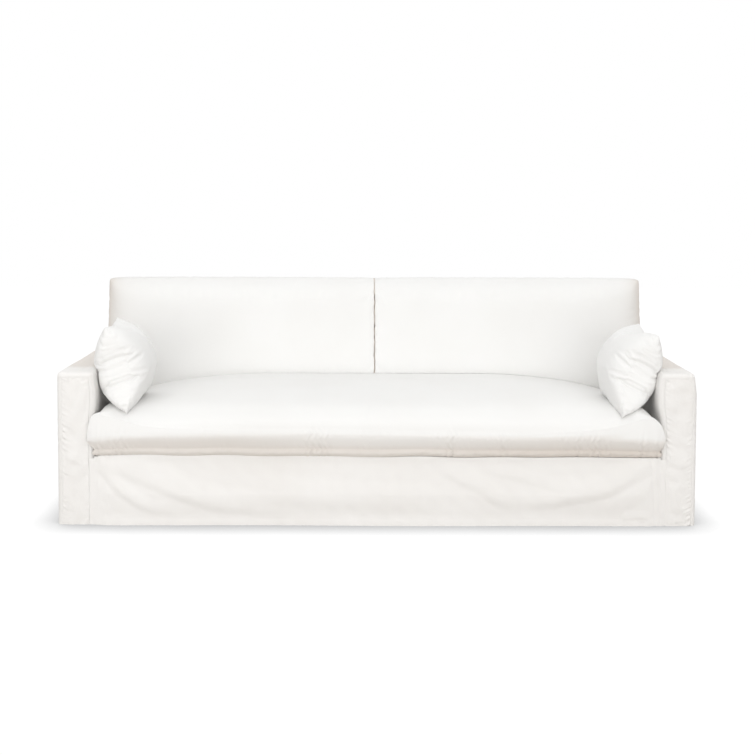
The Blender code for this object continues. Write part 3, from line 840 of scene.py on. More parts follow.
# ---- hem stitches
@dataclass(frozen=True)
class HemStitches:
    """The rows of thread that hold the hems, as short stitches along lines on the cloth."""

    length: float = 0.003
    pitch: float = 0.0042
    thickness: float = 0.0007
    unevenness: float = 0.12
    seed: int = 503

    def tree(self, thread: Finish) -> Tree:
        """Build the tree that sets stitches along a mesh's edges.

        Args:
            thread: What the stitches are made of.

        Returns:
            The tree, whose inputs start at this row's own measures.
        """
        tree = bpy.data.node_groups.new("hem_stitches", "GeometryNodeTree")
        face = tree.interface
        face.new_socket("Line", in_out="INPUT", socket_type="NodeSocketGeometry")
        for name, value in (("Length", self.length), ("Pitch", self.pitch),
                            ("Thickness", self.thickness), ("Unevenness", self.unevenness)):
            socket = face.new_socket(name, in_out="INPUT", socket_type="NodeSocketFloat")
            socket.default_value = value
        face.new_socket("Stitches", in_out="OUTPUT", socket_type="NodeSocketGeometry")
        given = add_node(tree, "NodeGroupInput").outputs
        curve = add_node(tree, "GeometryNodeMeshToCurve", {"Mesh": given["Line"]})
        spaced = add_node(tree, "GeometryNodeCurveToPoints", mode="LENGTH")
        fill_inputs(tree, spaced, {"Curve": curve.outputs["Curve"], "Length": given["Pitch"]})
        stitch = add_node(tree, "GeometryNodeMeshCylinder", {
            "Vertices": 5, "Radius": 0.5, "Depth": 1.0})
        size = add_node(tree, "ShaderNodeCombineXYZ", {
            "X": given["Thickness"], "Y": given["Thickness"], "Z": given["Length"]})
        least = add_node(tree, "ShaderNodeMath", {0: 1.0, 1: given["Unevenness"]},
                         operation="SUBTRACT")
        uneven = add_node(tree, "FunctionNodeRandomValue", {
            "Seed": self.seed, 2: least.outputs[0], 3: 1.0}, data_type="FLOAT")
        scale = add_node(tree, "ShaderNodeVectorMath", operation="SCALE")
        fill_inputs(tree, scale, {0: size.outputs[0], "Scale": uneven.outputs[1]})
        turn = add_node(tree, "FunctionNodeAlignRotationToVector", {
            "Vector": spaced.outputs["Tangent"]}, axis="Z")
        place = add_node(tree, "GeometryNodeInstanceOnPoints", {
            "Points": spaced.outputs["Points"], "Instance": stitch.outputs["Mesh"],
            "Rotation": turn.outputs[0], "Scale": scale.outputs[0]})
        real = add_node(tree, "GeometryNodeRealizeInstances", {0: place.outputs[0]})
        dressed = add_node(tree, "GeometryNodeSetMaterial", {
            "Geometry": real.outputs[0], "Material": thread})
        add_node(tree, "NodeGroupOutput", {0: dressed.outputs[0]})
        return tree

    def sew(self, lines: list[Array], thread: Finish) -> Piece:
        """Set the stitches along some lines as one plain mesh.

        Args:
            lines: Places along each line, just above the cloth.
            thread: What the stitches are made of.

        Returns:
            The new object.
        """
        mesh = bpy.data.meshes.new("hem_stitches")
        starts = np.cumsum([0] + [len(line) for line in lines])
        edges = [(i, i + 1) for a, b in zip(starts, starts[1:]) for i in range(a, b - 1)]
        mesh.from_pydata(np.concatenate(lines).tolist(), edges, [])
        made = bpy.data.objects.new("hem_stitches", mesh)
        bpy.context.collection.objects.link(made)
        made.modifiers.new("stitches", "NODES").node_group = self.tree(thread)
        keep_evaluated(made)
        return made


# ---- body cover
# Folds of the front drop, as (x, z) along each crest. The cloth is held at its two upper
# corners and hangs in long swags from there to the middle of the hem.
SKIRT_FOLDS = (
    Fold(crest=((-1.075, 0.262), (-0.927, 0.198), (-0.782, 0.14), (-0.641, 0.09),
                (-0.486, 0.068), (-0.25, 0.04)), rise=0.0084, above=0.08, below=0.04),
    Fold(crest=((-1.08, 0.244), (-1.023, 0.196), (-0.965, 0.129), (-0.86, 0.068),
                (-0.74, 0.05)), rise=0.0062, above=0.042, below=0.03),
    Fold(crest=((-0.42, 0.128), (-0.174, 0.106), (0.085, 0.098), (0.3, 0.08)),
         rise=0.0048, above=0.08, below=0.055),
    Fold(crest=((0.235, 0.232), (0.338, 0.178), (0.416, 0.14), (0.464, 0.102),
                (0.54, 0.092)), rise=0.0062, above=0.06, below=0.036),
    Fold(crest=((1.08, 0.262), (0.99, 0.206), (0.887, 0.152), (0.766, 0.122),
                (0.62, 0.096), (0.48, 0.094)), rise=0.0092, above=0.08, below=0.042),
    Fold(crest=((0.42, 0.215), (0.54, 0.19), (0.64, 0.164), (0.74, 0.15)),
         rise=0.0036, above=0.04, below=0.026),
    Fold(crest=((1.088, 0.222), (0.99, 0.133), (0.86, 0.045)),
         rise=0.0042, above=0.046, below=0.046),
    Fold(crest=((0.93, 0.033), (0.99, 0.038), (1.05, 0.026)),
         rise=0.004, above=0.03, below=0.02),
)

ARM_FRONT_FOLDS = {
    Side.LEFT: (
        Fold(crest=((-1.19, 0.268), (-1.15, 0.252), (-1.105, 0.24)),
             rise=0.0034, above=0.036, below=0.022),
        Fold(crest=((-1.112, 0.56), (-1.126, 0.47), (-1.122, 0.38)),
             rise=0.003, above=0.024, below=0.024),
    ),
    Side.RIGHT: (
        Fold(crest=((1.108, 0.252), (1.15, 0.243), (1.192, 0.236)),
             rise=0.0036, above=0.04, below=0.026),
        Fold(crest=((1.128, 0.18), (1.138, 0.09), (1.146, 0.01)),
             rise=0.004, above=0.028, below=0.028, fade_in=0.5, fade_out=0.05),
        Fold(crest=((1.112, 0.54), (1.124, 0.47), (1.12, 0.39)),
             rise=0.003, above=0.024, below=0.024),
    ),
}
ARM_SIDE_FOLDS = (
    hanging(((0.1, 0.5), (0.3, 0.33), (0.4, 0.13), (0.43, 0.01)), 0.008, 0.11),
    hanging(((0.88, 0.47), (0.78, 0.28), (0.74, 0.01)), 0.007, 0.09),
    hanging(((0.1, 0.21), (0.17, 0.11), (0.2, 0.01)), 0.006, 0.06),
)
BACK_FOLDS = (
    hanging(((-1.0, 0.66), (-0.82, 0.38), (-0.76, 0.01)), 0.009, 0.13),
    hanging(((-0.25, 0.42), (-0.2, 0.22), (-0.22, 0.01)), 0.008, 0.11),
    hanging(((0.36, 0.52), (0.33, 0.26), (0.36, 0.01)), 0.009, 0.12),
    hanging(((0.98, 0.62), (0.88, 0.33), (0.84, 0.01)), 0.007, 0.11),
)


@dataclass(frozen=True)
class Padding:
    """How one arm's padding fills out its cover."""

    swell: float
    swell_top: float
    lean: float
    narrow: float
    crown: float = 0.004
    sag: float = 0.008


ARM_PADDING = {Side.LEFT: Padding(swell=0.007, swell_top=0.575, lean=0.0, narrow=0.0),
               Side.RIGHT: Padding(swell=0.012, swell_top=0.595, lean=0.01, narrow=0.004)}


def wrap_path(s: Array, lip: float, radius: float) -> tuple[Array, Array]:
    """Follow a cloth round a rounded front edge, from the free edge of its lip.

    Args:
        s: Distance along the cloth.
        lip: How far round the edge the cloth turns on to the front.
        radius: Radius of the rounded edge.

    Returns:
        How far the cloth lies inside the wall's outer face, and how far it is behind
        the front plane.
    """
    straight = lip - radius
    angle = np.clip((s - straight) / radius, 0, QUARTER)
    inset = np.where(s <= straight, lip - s, radius * (1 - np.sin(angle)))
    run = radius * (1 - np.cos(angle)) + np.maximum(s - straight - QUARTER * radius, 0)
    return inset, run


def wrap_length(lip: float, radius: float, run: float) -> float:
    """Return the distance along the cloth at which it is run behind the front plane."""
    return lip - radius + QUARTER * radius + run - radius


def rows_from_floor(hem: float, top: float, hem_pitch: float, pitch: float) -> Array:
    """Space rows up a front panel, with a step at its hem and close ones at its top seam."""
    step, seam, fine = 0.001, 0.006, 0.0012
    return np.concatenate([stations(0, hem - step, hem_pitch),
                           stations(hem + step, top - seam, pitch),
                           top - np.arange(seam - fine, -fine / 2, -fine)])


def rows_from_lip(length: float, pitch: float, near: float = 0.08) -> Array:
    """Space rows along a panel that starts with a lip: close on the lip, wider behind."""
    return np.concatenate([np.arange(0, 0.03, 0.0018), stations(0.031, near, 0.004),
                           stations(near + 0.007, length, pitch)])


@dataclass(frozen=True)
class SeatLine:
    """The lower front seam of the seat cushion, which wanders a little."""

    low: float = 0.2668
    rise: float = 0.003
    wander: float = 0.0016

    def at(self, x: Array) -> Array:
        """Return the height of the seam at x."""
        return (self.low + self.rise * smooth(0.2, 0.6, -x)
                + self.wander * Ripple(207, 0.35).at(x))


SEAT_LINE = SeatLine()
# Height of the hem's line of stitches, as a share of the hem.
HEM_STITCH_SHARE = 0.87


@dataclass
class BodyCover:
    """The sewn cover of the sofa's frame: fifteen panels and the stitches of their hems."""

    sizes: CoverSizes
    finish: Finish
    thread: Finish
    stitches: HemStitches = HemStitches()
    hem_lines: list[Array] = field(default_factory=list)
    drop_pitch: float = 0.005
    lap_gap: Pair = (0.0007, 0.0028)
    lap_share: float = 0.25
    lap_end: Pair = (1.058, 1.078)
    calm_inner_foot: float = 0.8
    # How much painted shade the arm tops take towards the back, and from how far behind their
    # fronts it rises.
    top_tone: float = 0.47
    top_painted_shade_from: Pair = (0.09, 0.17)
    front_pitch: float = 0.004
    side_pitch: float = 0.0085
    hidden_pitch: float = 0.016
    slot: str = "cover_cotton"

    def build(self) -> None:
        """Make every panel of the cover."""
        self.front_drop()
        for side in Side:
            self.arm_front(side)
            self.arm_outside(side)
            self.arm_top(side)
            self.arm_inside(side)
            self.back_end(side)
        self.deck()
        self.inside_back()
        self.back_top()
        self.outside_back()
        made = self.stitches.sew(self.hem_lines, self.thread)
        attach(made, BODY)

    def keep(self, panel: Panel) -> Piece:
        """Args:
            panel: The panel to build.

        Returns:
            The finished panel.
        """
        made = panel.build()
        if panel.hem:
            self.hem_lines.append(panel.line_at(panel.hem * HEM_STITCH_SHARE,
                                                self.stitches.thickness / 4))
        dress(made, self.finish, panel.node)
        return made

    def padded_arm(self, side: Side, points: Array) -> Array:
        """Give flat-sided points of an arm the swell of its padding.

        The inner front edge swells towards the seat, the outer one leans in under the
        top, the front crowns a little, and the seams wander.

        Args:
            side: The arm's side.
            points: Places on the arm's straight outer faces.

        Returns:
            The same places on the padded arm.
        """
        size, shape = self.sizes, ARM_PADDING[side]
        x, y, z = points[..., 0] * side.value, points[..., 1], points[..., 2]
        behind = y - size.front
        out = np.clip((x - size.arm_inside) / (size.half - size.arm_inside), 0, 1)
        near = 1 - smooth(0.03, 0.16, behind)
        swell = (shape.swell * smooth(0.4, 0.47, z)
                 * (1 - smooth(shape.swell_top - 0.07, shape.swell_top, z))
                 * (1 - out) ** 3 * near)
        lean = (shape.narrow + shape.lean * smooth(0.49, 0.6, z)) * out
        lean = lean * (1 - smooth(0.1, 0.5, behind))
        wander = 0.0012 * Ripple(150 + side.value, 0.16).at(z + 0.3 * out) * near
        wander = wander * smooth(0, 0.04, z) * np.sin(math.pi * out)
        crown = shape.crown * np.sin(math.pi * out)
        crown = crown * (1 - smooth(0.0, 0.05, behind)) * smooth(0.0, 0.1, z)
        sag = shape.sag * out * smooth(0.5, 0.58, z) * smooth(0.05, 0.5, behind)
        sag = sag * (1 - smooth(0.78, 0.92, behind))
        return np.stack([side.value * (x - swell - lean + wander), y - crown, z - sag], axis=-1)

    def rounded_plan(self, x: Array, behind: Array) -> tuple[Array, Array]:
        """Round the two front corners of an arm in plan.

        Args:
            x: Distance from the sofa's middle.
            behind: Distance behind the front plane.

        Returns:
            Both distances, with the square corners turned into round ones.
        """
        size = self.sizes
        radius = size.arm_round
        for corner, way in ((size.arm_inside + radius, 1), (size.half - radius, -1)):
            across = np.maximum((corner - x) * way, 0.0)
            ahead = np.maximum(radius - behind, 0.0)
            both = np.maximum(np.hypot(across, ahead), 1e-9)
            shrink = np.where((across > 0) & (ahead > 0), np.maximum(across, ahead) / both, 1.0)
            x = np.where(across > 0, corner - way * across * shrink, x)
            behind = np.where(ahead > 0, radius - ahead * shrink, behind)
        return x, behind

    def rim_height(self, s: Array) -> Array:
        """Return the height of an arm's top seam above its side panels, round the corner."""
        size = self.sizes
        radius = size.arm_round
        angle = np.clip((s - size.seam_inset + radius) / radius, 0, QUARTER)
        square = 1 - 1 / np.tan(np.maximum(angle, QUARTER / 2))
        inset = radius * (1 - np.sqrt(np.maximum(1 - (1 - square) ** 2, 0.0)))
        inset = np.where(angle <= QUARTER / 2, size.seam_inset, inset)
        return size.arm_height - size.seam_gap - inset - size.arm_edge * (
            1 - inset / size.seam_inset)

    def bend_share(self, s: Array) -> Array:
        """Return 1 on an arm's front lip and 0 on its wall, with a soft change between."""
        size = self.sizes
        wall = size.seam_inset - size.arm_round + QUARTER * size.arm_round
        return 1 - smooth(wall - size.arm_round / 2, wall + size.arm_round, s)

    def front_drop(self) -> None:
        """Make the front drop between the arm fronts, with its swags and hem."""
        size = self.sizes
        edge = size.inner_seam - size.seam_gap
        creases = Swell(11, 0.05, 0.3)
        top_gathers = Puckers(21, spacing=0.03, height=0.0016, reach=0.03, base=0.25,
                              patches=((-1.05, 0.1, 0.8), (1.04, 0.1, 0.9)))

        def surface(x: Array, z: Array) -> Array:
            """Return the front plane, whose top laps over the edge of the deck."""
            gap = lerp(*self.lap_gap, smooth(-0.2, 0.3, x))
            lap = (SEAT_LINE.at(x) - gap - size.skirt_top) * smooth(0.19, size.skirt_top, z)
            lap = lap * (1 - smooth(*self.lap_end, np.abs(x)))
            return np.stack([x, size.front - self.lap_share * lap, z + lap], axis=-1)

        flare_depth, belly_depth, ripple_depth, belly_height = 0.005, 0.015, 0.0025, 0.12
        stitch_depth, stitch_width, pleat_depth, pleat_width = 0.0008, 0.0016, 0.0035, 0.018

        def relief(x: Array, z: Array) -> Array:
            """Return the swags, the flare of the hem and the small gathers."""
            held = smooth(0, 0.05, edge - np.abs(x)) * smooth(0, 0.03, size.skirt_top - z)
            flare = flare_depth * (1 - smooth(0.0, 0.045, z))
            belly = belly_depth * lerp(0.55, 1.0, smooth(0, belly_height, z)) * np.minimum(
                1.0, (size.skirt_top - z) / (size.skirt_top - belly_height))
            ripple = ripple_depth * np.sin(5.2 * x + 0.8) * (1 - smooth(0.02, 0.12, z))
            swags = folded(SKIRT_FOLDS, x, z) + ripple - 0.005
            small = 0.0007 * creases.at(x, z) * held
            gathers = top_gathers.relief(x, size.skirt_top - z)
            stitched = -stitch_depth * np.exp(
                -((z - size.hem_width + 0.003) / stitch_width) ** 2)
            pleat_at = lerp(1.08, 1.058, z / size.skirt_top)
            pleat = pleat_depth * bell(x - pleat_at, pleat_width)
            pleat = pleat * smooth(0, 0.04, size.skirt_top - z)
            level = 0.0016 * (1 - smooth(0, 0.05, edge - np.abs(x))) * smooth(0, 0.1, z)
            return (swags * held + small + gathers + stitched + pleat + level
                    + (flare + belly) * smooth(0, 0.08, edge - np.abs(x)))

        across = stations(-edge, edge, self.drop_pitch, fine=0.006)
        up = rows_from_floor(size.hem_width, size.skirt_top, 0.0042, 0.005)
        self.keep(Panel("front_drop", surface, across, up, (0, -1, 0), relief,
                        hem=size.hem_width))

    def arm_front(self, side: Side) -> None:
        """Make the narrow front panel of one arm."""
        size = self.sizes
        lip_top = size.arm_height - size.seam_inset - size.seam_gap
        inner = size.inner_seam + size.seam_gap
        outer = size.outer_seam - size.seam_gap
        low, high = sorted((side.value * inner, side.value * outer))
        creases = Swell(31 + side.value, 0.04, 0.16)
        seam_gathers = Puckers(41 + side.value, spacing=0.019, height=0.003, reach=0.026,
                               lean=0.5, root=0.006, base=0.45,
                               patches=((0.54, 0.06, 0.9), (0.36, 0.12, 0.9)))
        top_gathers = Puckers(51 + side.value, spacing=0.024, height=0.0022, reach=0.03,
                              base=0.5, root=0.006)

        def surface(x: Array, z: Array) -> Array:
            """Return the padded front plane."""
            flat = np.stack([x, np.full_like(x, size.front), z], axis=-1)
            return self.padded_arm(side, flat)

        def relief(x: Array, z: Array) -> Array:
            """Return the dents, creases and gathers of the panel."""
            away = np.minimum(np.abs(x - low), np.abs(x - high))
            held = smooth(0, 0.02, away) * smooth(0, 0.02, lip_top - z)
            dents = folded(ARM_FRONT_FOLDS[side], x, z) * held
            sewn = seam_gathers.relief(z + 0.3 * (x > (low + high) / 2), away)
            inner_half = smooth(0.4, 0.6, (outer - np.abs(x)) / (outer - inner))
            sewn = sewn * (1 - self.calm_inner_foot * inner_half * (1 - smooth(0.2, 0.32, z)))
            flare = 0.004 * (1 - smooth(0.0, 0.05, z)) * smooth(0, 0.03, away)
            return (dents + sewn + top_gathers.relief(x, lip_top - z) + flare
                    + 0.0013 * creases.at(x, z) * held)

        up = rows_from_floor(size.hem_width, lip_top, 0.004, self.front_pitch)
        across = stations(low, high, self.front_pitch * 0.8, fine=0.006)
        self.keep(Panel(side.of("arm_front"), surface, across, up, (0, -1, 0), relief,
                        hem=size.hem_width))

    def arm_outside(self, side: Side) -> None:
        """Make the outside panel of one arm, which turns round on to its front."""
        size = self.sizes
        top = size.arm_under
        run = size.back - size.front - size.cloth - size.hem_extra - size.seam_gap
        length = wrap_length(size.seam_inset, size.arm_round, run)
        creases = Swell(61 + side.value, 0.08, 0.4)
        seam_gathers = Puckers(71 + side.value, spacing=0.018, height=0.0024, reach=0.024,
                               lean=-0.4, root=0.006, base=0.5,
                               patches=((0.38, 0.14, 0.9),))
        top_gathers = Puckers(81 + side.value, spacing=0.03, height=0.0012, reach=0.02)

        def surface(s: Array, share: Array) -> Array:
            """Return the outside wall and its lip round the front edge."""
            inset, behind = wrap_path(s, size.seam_inset, size.arm_round)
            flat = np.stack([side.value * (size.half - inset), size.front + behind,
                             share * self.rim_height(s)], axis=-1)
            return self.padded_arm(side, flat)

        def relief(s: Array, share: Array) -> Array:
            """Return the hanging folds and the gathers along the seams."""
            z = share * size.arm_height
            held = smooth(0.03, 0.1, s) * smooth(0, 0.1, length - s)
            free = smooth(0, 0.08, 1 - share)
            return (folded(ARM_SIDE_FOLDS, s, z) * held * free
                    + 0.0012 * creases.at(s, z) * held * free
                    + seam_gathers.relief(z, s)
                    + top_gathers.relief(s, top - z.clip(0, top)) * held)

        across = rows_from_lip(length, self.side_pitch)
        hem_share = size.hem_width / top
        up = np.concatenate([stations(0, hem_share * 0.98, hem_share / 5),
                             stations(hem_share * 1.02, 0.985, self.side_pitch / top),
                             [0.99, 0.995, 1.0]])
        self.keep(Panel(side.of("arm_outside"), surface, across, up,
                        (side.value, 0, 0), relief, hem=hem_share, sewn="l"))

    def arm_top(self, side: Side) -> None:
        """Make the top panel of one arm, which turns down over its front edge."""
        size = self.sizes
        run = size.inside_back(size.arm_height - size.cloth) - size.front - size.seam_gap
        length = wrap_length(size.seam_inset, size.arm_round, run)
        width = size.half - size.arm_inside
        creases = Swell(91 + side.value, 0.06, 0.25)
        gathers = Puckers(101 + side.value, spacing=0.02, height=0.0014, reach=0.02,
                          base=0.6, root=0.01)
        lengthwise = Puckers(106 + side.value, spacing=0.03, height=0.0022, reach=0.2,
                             base=0.7, root=0.02)

        def surface(x: Array, s: Array) -> Array:
            """Return the flat top and its lip over the front edge."""
            inset, behind = wrap_path(s, size.seam_inset, size.arm_round)
            away = np.minimum(np.minimum(x - size.arm_inside, size.half - x), size.arm_edge)
            drop = size.arm_edge - np.sqrt(np.maximum(
                size.arm_edge ** 2 - (size.arm_edge - away) ** 2, 0.0))
            drop = drop * (1 - inset / size.seam_inset)
            x, behind = self.rounded_plan(x, behind)
            flat = np.stack([side.value * x, size.front + behind,
                             size.arm_height - inset - drop], axis=-1)
            return self.padded_arm(side, flat)

        def relief(x: Array, s: Array) -> Array:
            """Return the sag between the arm's edges and its gathers."""
            crown = np.sin(math.pi * (x - size.arm_inside) / width)
            return (-0.003 * crown * smooth(0.04, 0.2, s)
                    + 0.0007 * creases.at(x, s) * crown
                    + gathers.relief(x, s) * crown
                    + lengthwise.relief(x, np.maximum(s - 0.04, 0)) * crown)

        across = stations(size.arm_inside, size.half, 0.005, fine=0.011)
        up = rows_from_lip(length, 0.01)
        made = self.keep(Panel(side.of("arm_top"), surface, across, up, (0, 0, 1),
                               relief, sewn="lrb"))
        # Painted shade: the top darkens towards the back, where the leaning pillow shades it.
        behind = points_of(made)[:, 1] - size.front
        paint_shade(made, self.top_tone * smooth(*self.top_painted_shade_from, behind))

    def arm_inside(self, side: Side) -> None:
        """Make the inside panel of one arm, down to the deck."""
        size = self.sizes
        lip_low = size.skirt_top + size.seam_gap
        lip = size.seam_inset - size.seam_gap
        run = size.inside_back(size.deck_under) - size.front - size.seam_gap
        gathers = Puckers(111 + side.value, spacing=0.021, height=0.0014, reach=0.022,
                          lean=0.4, root=0.011, patches=((0.5, 0.1, 0.7),))

        def surface(s: Array, share: Array) -> Array:
            """Return the inside wall and its lip round the front edge."""
            inset, behind = wrap_path(s, lip, size.arm_round)
            bend = self.bend_share(s)
            z = lerp(lerp(size.deck_under, lip_low, bend), self.rim_height(s), share)
            lean = (z - size.deck_under) * size.back_lean * smooth(0.3, run, s)
            flat = np.stack([side.value * (size.arm_inside + inset),
                             size.front + behind + lean, z], axis=-1)
            return self.padded_arm(side, flat)

        def relief(s: Array, share: Array) -> Array:
            """Return the gathers along the front seam."""
            along = share * (size.arm_under - size.deck_under)
            return gathers.relief(along, s) * smooth(0, 0.04, 1 - share)

        across = rows_from_lip(run, self.hidden_pitch, near=0.07)
        self.keep(Panel(side.of("arm_inside"), surface, across, stations(0, 1, 0.022),
                        (-side.value, 0, 0), relief, sewn="l"))

    def deck(self) -> None:
        """Make the deck, which turns down over the front edge to meet the front drop."""
        size = self.sizes
        lip = size.deck_height - size.skirt_top - size.seam_gap
        run = size.inside_back(size.deck_under) - size.front - size.seam_gap
        edge = size.arm_inside - size.seam_gap

        def surface(x: Array, s: Array) -> Array:
            """Return the flat deck and its rounded front edge."""
            inset, behind = wrap_path(s, lip, size.deck_round)
            return np.stack([x, size.front + behind, size.deck_height - inset], axis=-1)

        length = wrap_length(lip, size.deck_round, run)
        up = np.concatenate([np.arange(0, 0.016, 0.0015), stations(0.018, length, 0.03)])
        self.keep(Panel("deck", surface, stations(-edge, edge, 0.02), up, (0, 0, 1),
                        sewn="b"))

    def inside_back(self) -> None:
        """Make the leaning inside back, wider above the arms than between them."""
        size = self.sizes
        low, under_top = size.deck_under, size.back_under

        def surface(share: Array, z: Array) -> Array:
            """Return the leaning T-shaped panel."""
            half = np.where(z < size.arm_height, size.arm_inside - size.seam_gap, size.half)
            return np.stack([share * half, size.inside_back(z), z], axis=-1)

        def relief(share: Array, z: Array) -> Array:
            """Return the slight belly of the panel, towards the frame."""
            rise = np.sin(math.pi * (z - low) / (under_top - low))
            return -0.004 * np.maximum(np.cos(share * QUARTER) * rise, 0.0)

        up = np.concatenate([stations(low, size.arm_height - size.seam_gap, 0.02),
                             stations(size.arm_height + size.seam_gap, under_top, 0.02)])
        self.keep(Panel("inside_back", surface, stations(-1, 1, 0.016), up, (0, -1, 0),
                        relief, sewn=""))

    def back_top(self) -> None:
        """Make the strip over the top of the back."""
        size = self.sizes
        creases = Swell(121, 0.07, 0.3)
        gathers = Puckers(123, spacing=0.026, height=0.0012, reach=0.018)
        start = size.inside_back(size.back_under)

        def surface(x: Array, y: Array) -> Array:
            """Return the flat strip."""
            return np.stack([x, y, np.full_like(x, size.back_height)], axis=-1)

        def relief(x: Array, y: Array) -> Array:
            """Return the strip's slight unevenness."""
            return (0.0009 * creases.at(x, y) * smooth(0, 0.02, y - start)
                    + gathers.relief(x, size.back - y)) * smooth(0, 0.03, size.half - np.abs(x))

        self.keep(Panel("back_top", surface, stations(-size.half, size.half, 0.01),
                        stations(start, size.back, 0.008, fine=0.004), (0, 0, 1), relief,
                        sewn="t"))

    def outside_back(self) -> None:
        """Make the outside back, which hangs to the floor."""
        size = self.sizes
        under_top = size.back_under
        creases = Swell(131, 0.08, 0.5)
        gathers = Puckers(133, spacing=0.034, height=0.0016, reach=0.03)

        def surface(x: Array, z: Array) -> Array:
            """Return the flat back plane."""
            return np.stack([x, np.full_like(x, size.back), z], axis=-1)

        def relief(x: Array, z: Array) -> Array:
            """Return the hanging folds and the gathers under the top seam."""
            held = smooth(0, 0.12, size.half - np.abs(x)) * smooth(0, 0.1, under_top - z)
            return ((folded(BACK_FOLDS, x, z) + 0.0014 * creases.at(x, z)) * held
                    + gathers.relief(x, under_top - z) * smooth(0, 0.03, size.half - np.abs(x)))

        up = np.concatenate([stations(0, size.hem_width - 0.001, 0.006),
                             stations(size.hem_width + 0.001, under_top, 0.009)])
        self.keep(Panel("outside_back", surface,
                        stations(-size.half, size.half, 0.009, fine=0.004), up, (0, 1, 0),
                        relief, hem=size.hem_width))

    def back_end(self, side: Side) -> None:
        """Make the small end panel of the back, above one arm."""
        size = self.sizes
        low = size.arm_height - size.arm_edge
        top = size.back_under
        rear = size.back - size.cloth - size.seam_gap
        creases = Swell(141 + side.value, 0.05, 0.2)

        def surface(share: Array, z: Array) -> Array:
            """Return the flat end of the back."""
            start = (size.inside_back(np.maximum(z, size.arm_height + size.seam_gap))
                     + size.cloth + 2 * size.seam_gap)
            return np.stack([np.full_like(z, side.value * size.half),
                             lerp(start, rear, share), z], axis=-1)

        def relief(share: Array, z: Array) -> Array:
            """Return the panel's slight unevenness."""
            return -0.0008 * np.abs(creases.at(share * 0.1, z))

        self.keep(Panel(side.of("back_end"), surface, stations(0, 1, 0.06),
                        stations(low, top, 0.008), (side.value, 0, 0), relief, sewn=""))


# ---- seat cushion
# Section of the seat cushion's front: share of the way up from the lower to the upper
# seam, and how far it lies behind the arm fronts there. The lowest part is the turned-up
# lip of the bottom panel, the rest is the boxing.
BOXING_SECTION = (
    (0.0, -0.0055), (0.03, -0.0092), (0.08, -0.0118), (0.14, -0.0125), (0.21, -0.0115),
    (0.27, -0.0085), (0.32, -0.007), (0.37, -0.008), (0.5, -0.013), (0.65, -0.0195),
    (0.8, -0.025), (0.92, -0.0285), (1.0, -0.03),
)
# Which of its rows is the step between the lip and the boxing.
BOXING_STEP = 6
# How much painted shade the boxing takes, darkest low down where it faces the floor under the
# nose: share of the way up, share of the cotton's painted shade.
BOXING_PAINTED_SHADE = ((0.0, 0.7), (0.16, 0.62), (0.27, 0.7), (0.34, 0.6), (0.5, 0.36),
               (0.7, 0.24), (0.93, 0.14), (1.0, 0.0))
# Roundness of the seat cushion's two ends, as the two powers of their outline.
SEAT_ENDS = {Side.LEFT: (7.0, 0.36), Side.RIGHT: (2.6, 0.5)}
# How far its front corners bulge out over the arm fronts.
SEAT_FLARE = {Side.LEFT: 0.0255, Side.RIGHT: 0.014}
# Height of the upper front seam, as (x, z).
UPPER_SEAM = ((-1.08, 0.338), (-1.05, 0.343), (-0.94, 0.354), (-0.67, 0.361),
              (-0.3, 0.365), (-0.01, 0.361), (0.27, 0.357), (0.53, 0.348),
              (0.84, 0.351), (0.99, 0.34), (1.08, 0.334))


def along_table(table: Sequence[Pair], at: Array) -> Array:
    """Return the second column of a table where its first column has given values."""
    first, second = zip(*table)
    return np.interp(at, first, second)


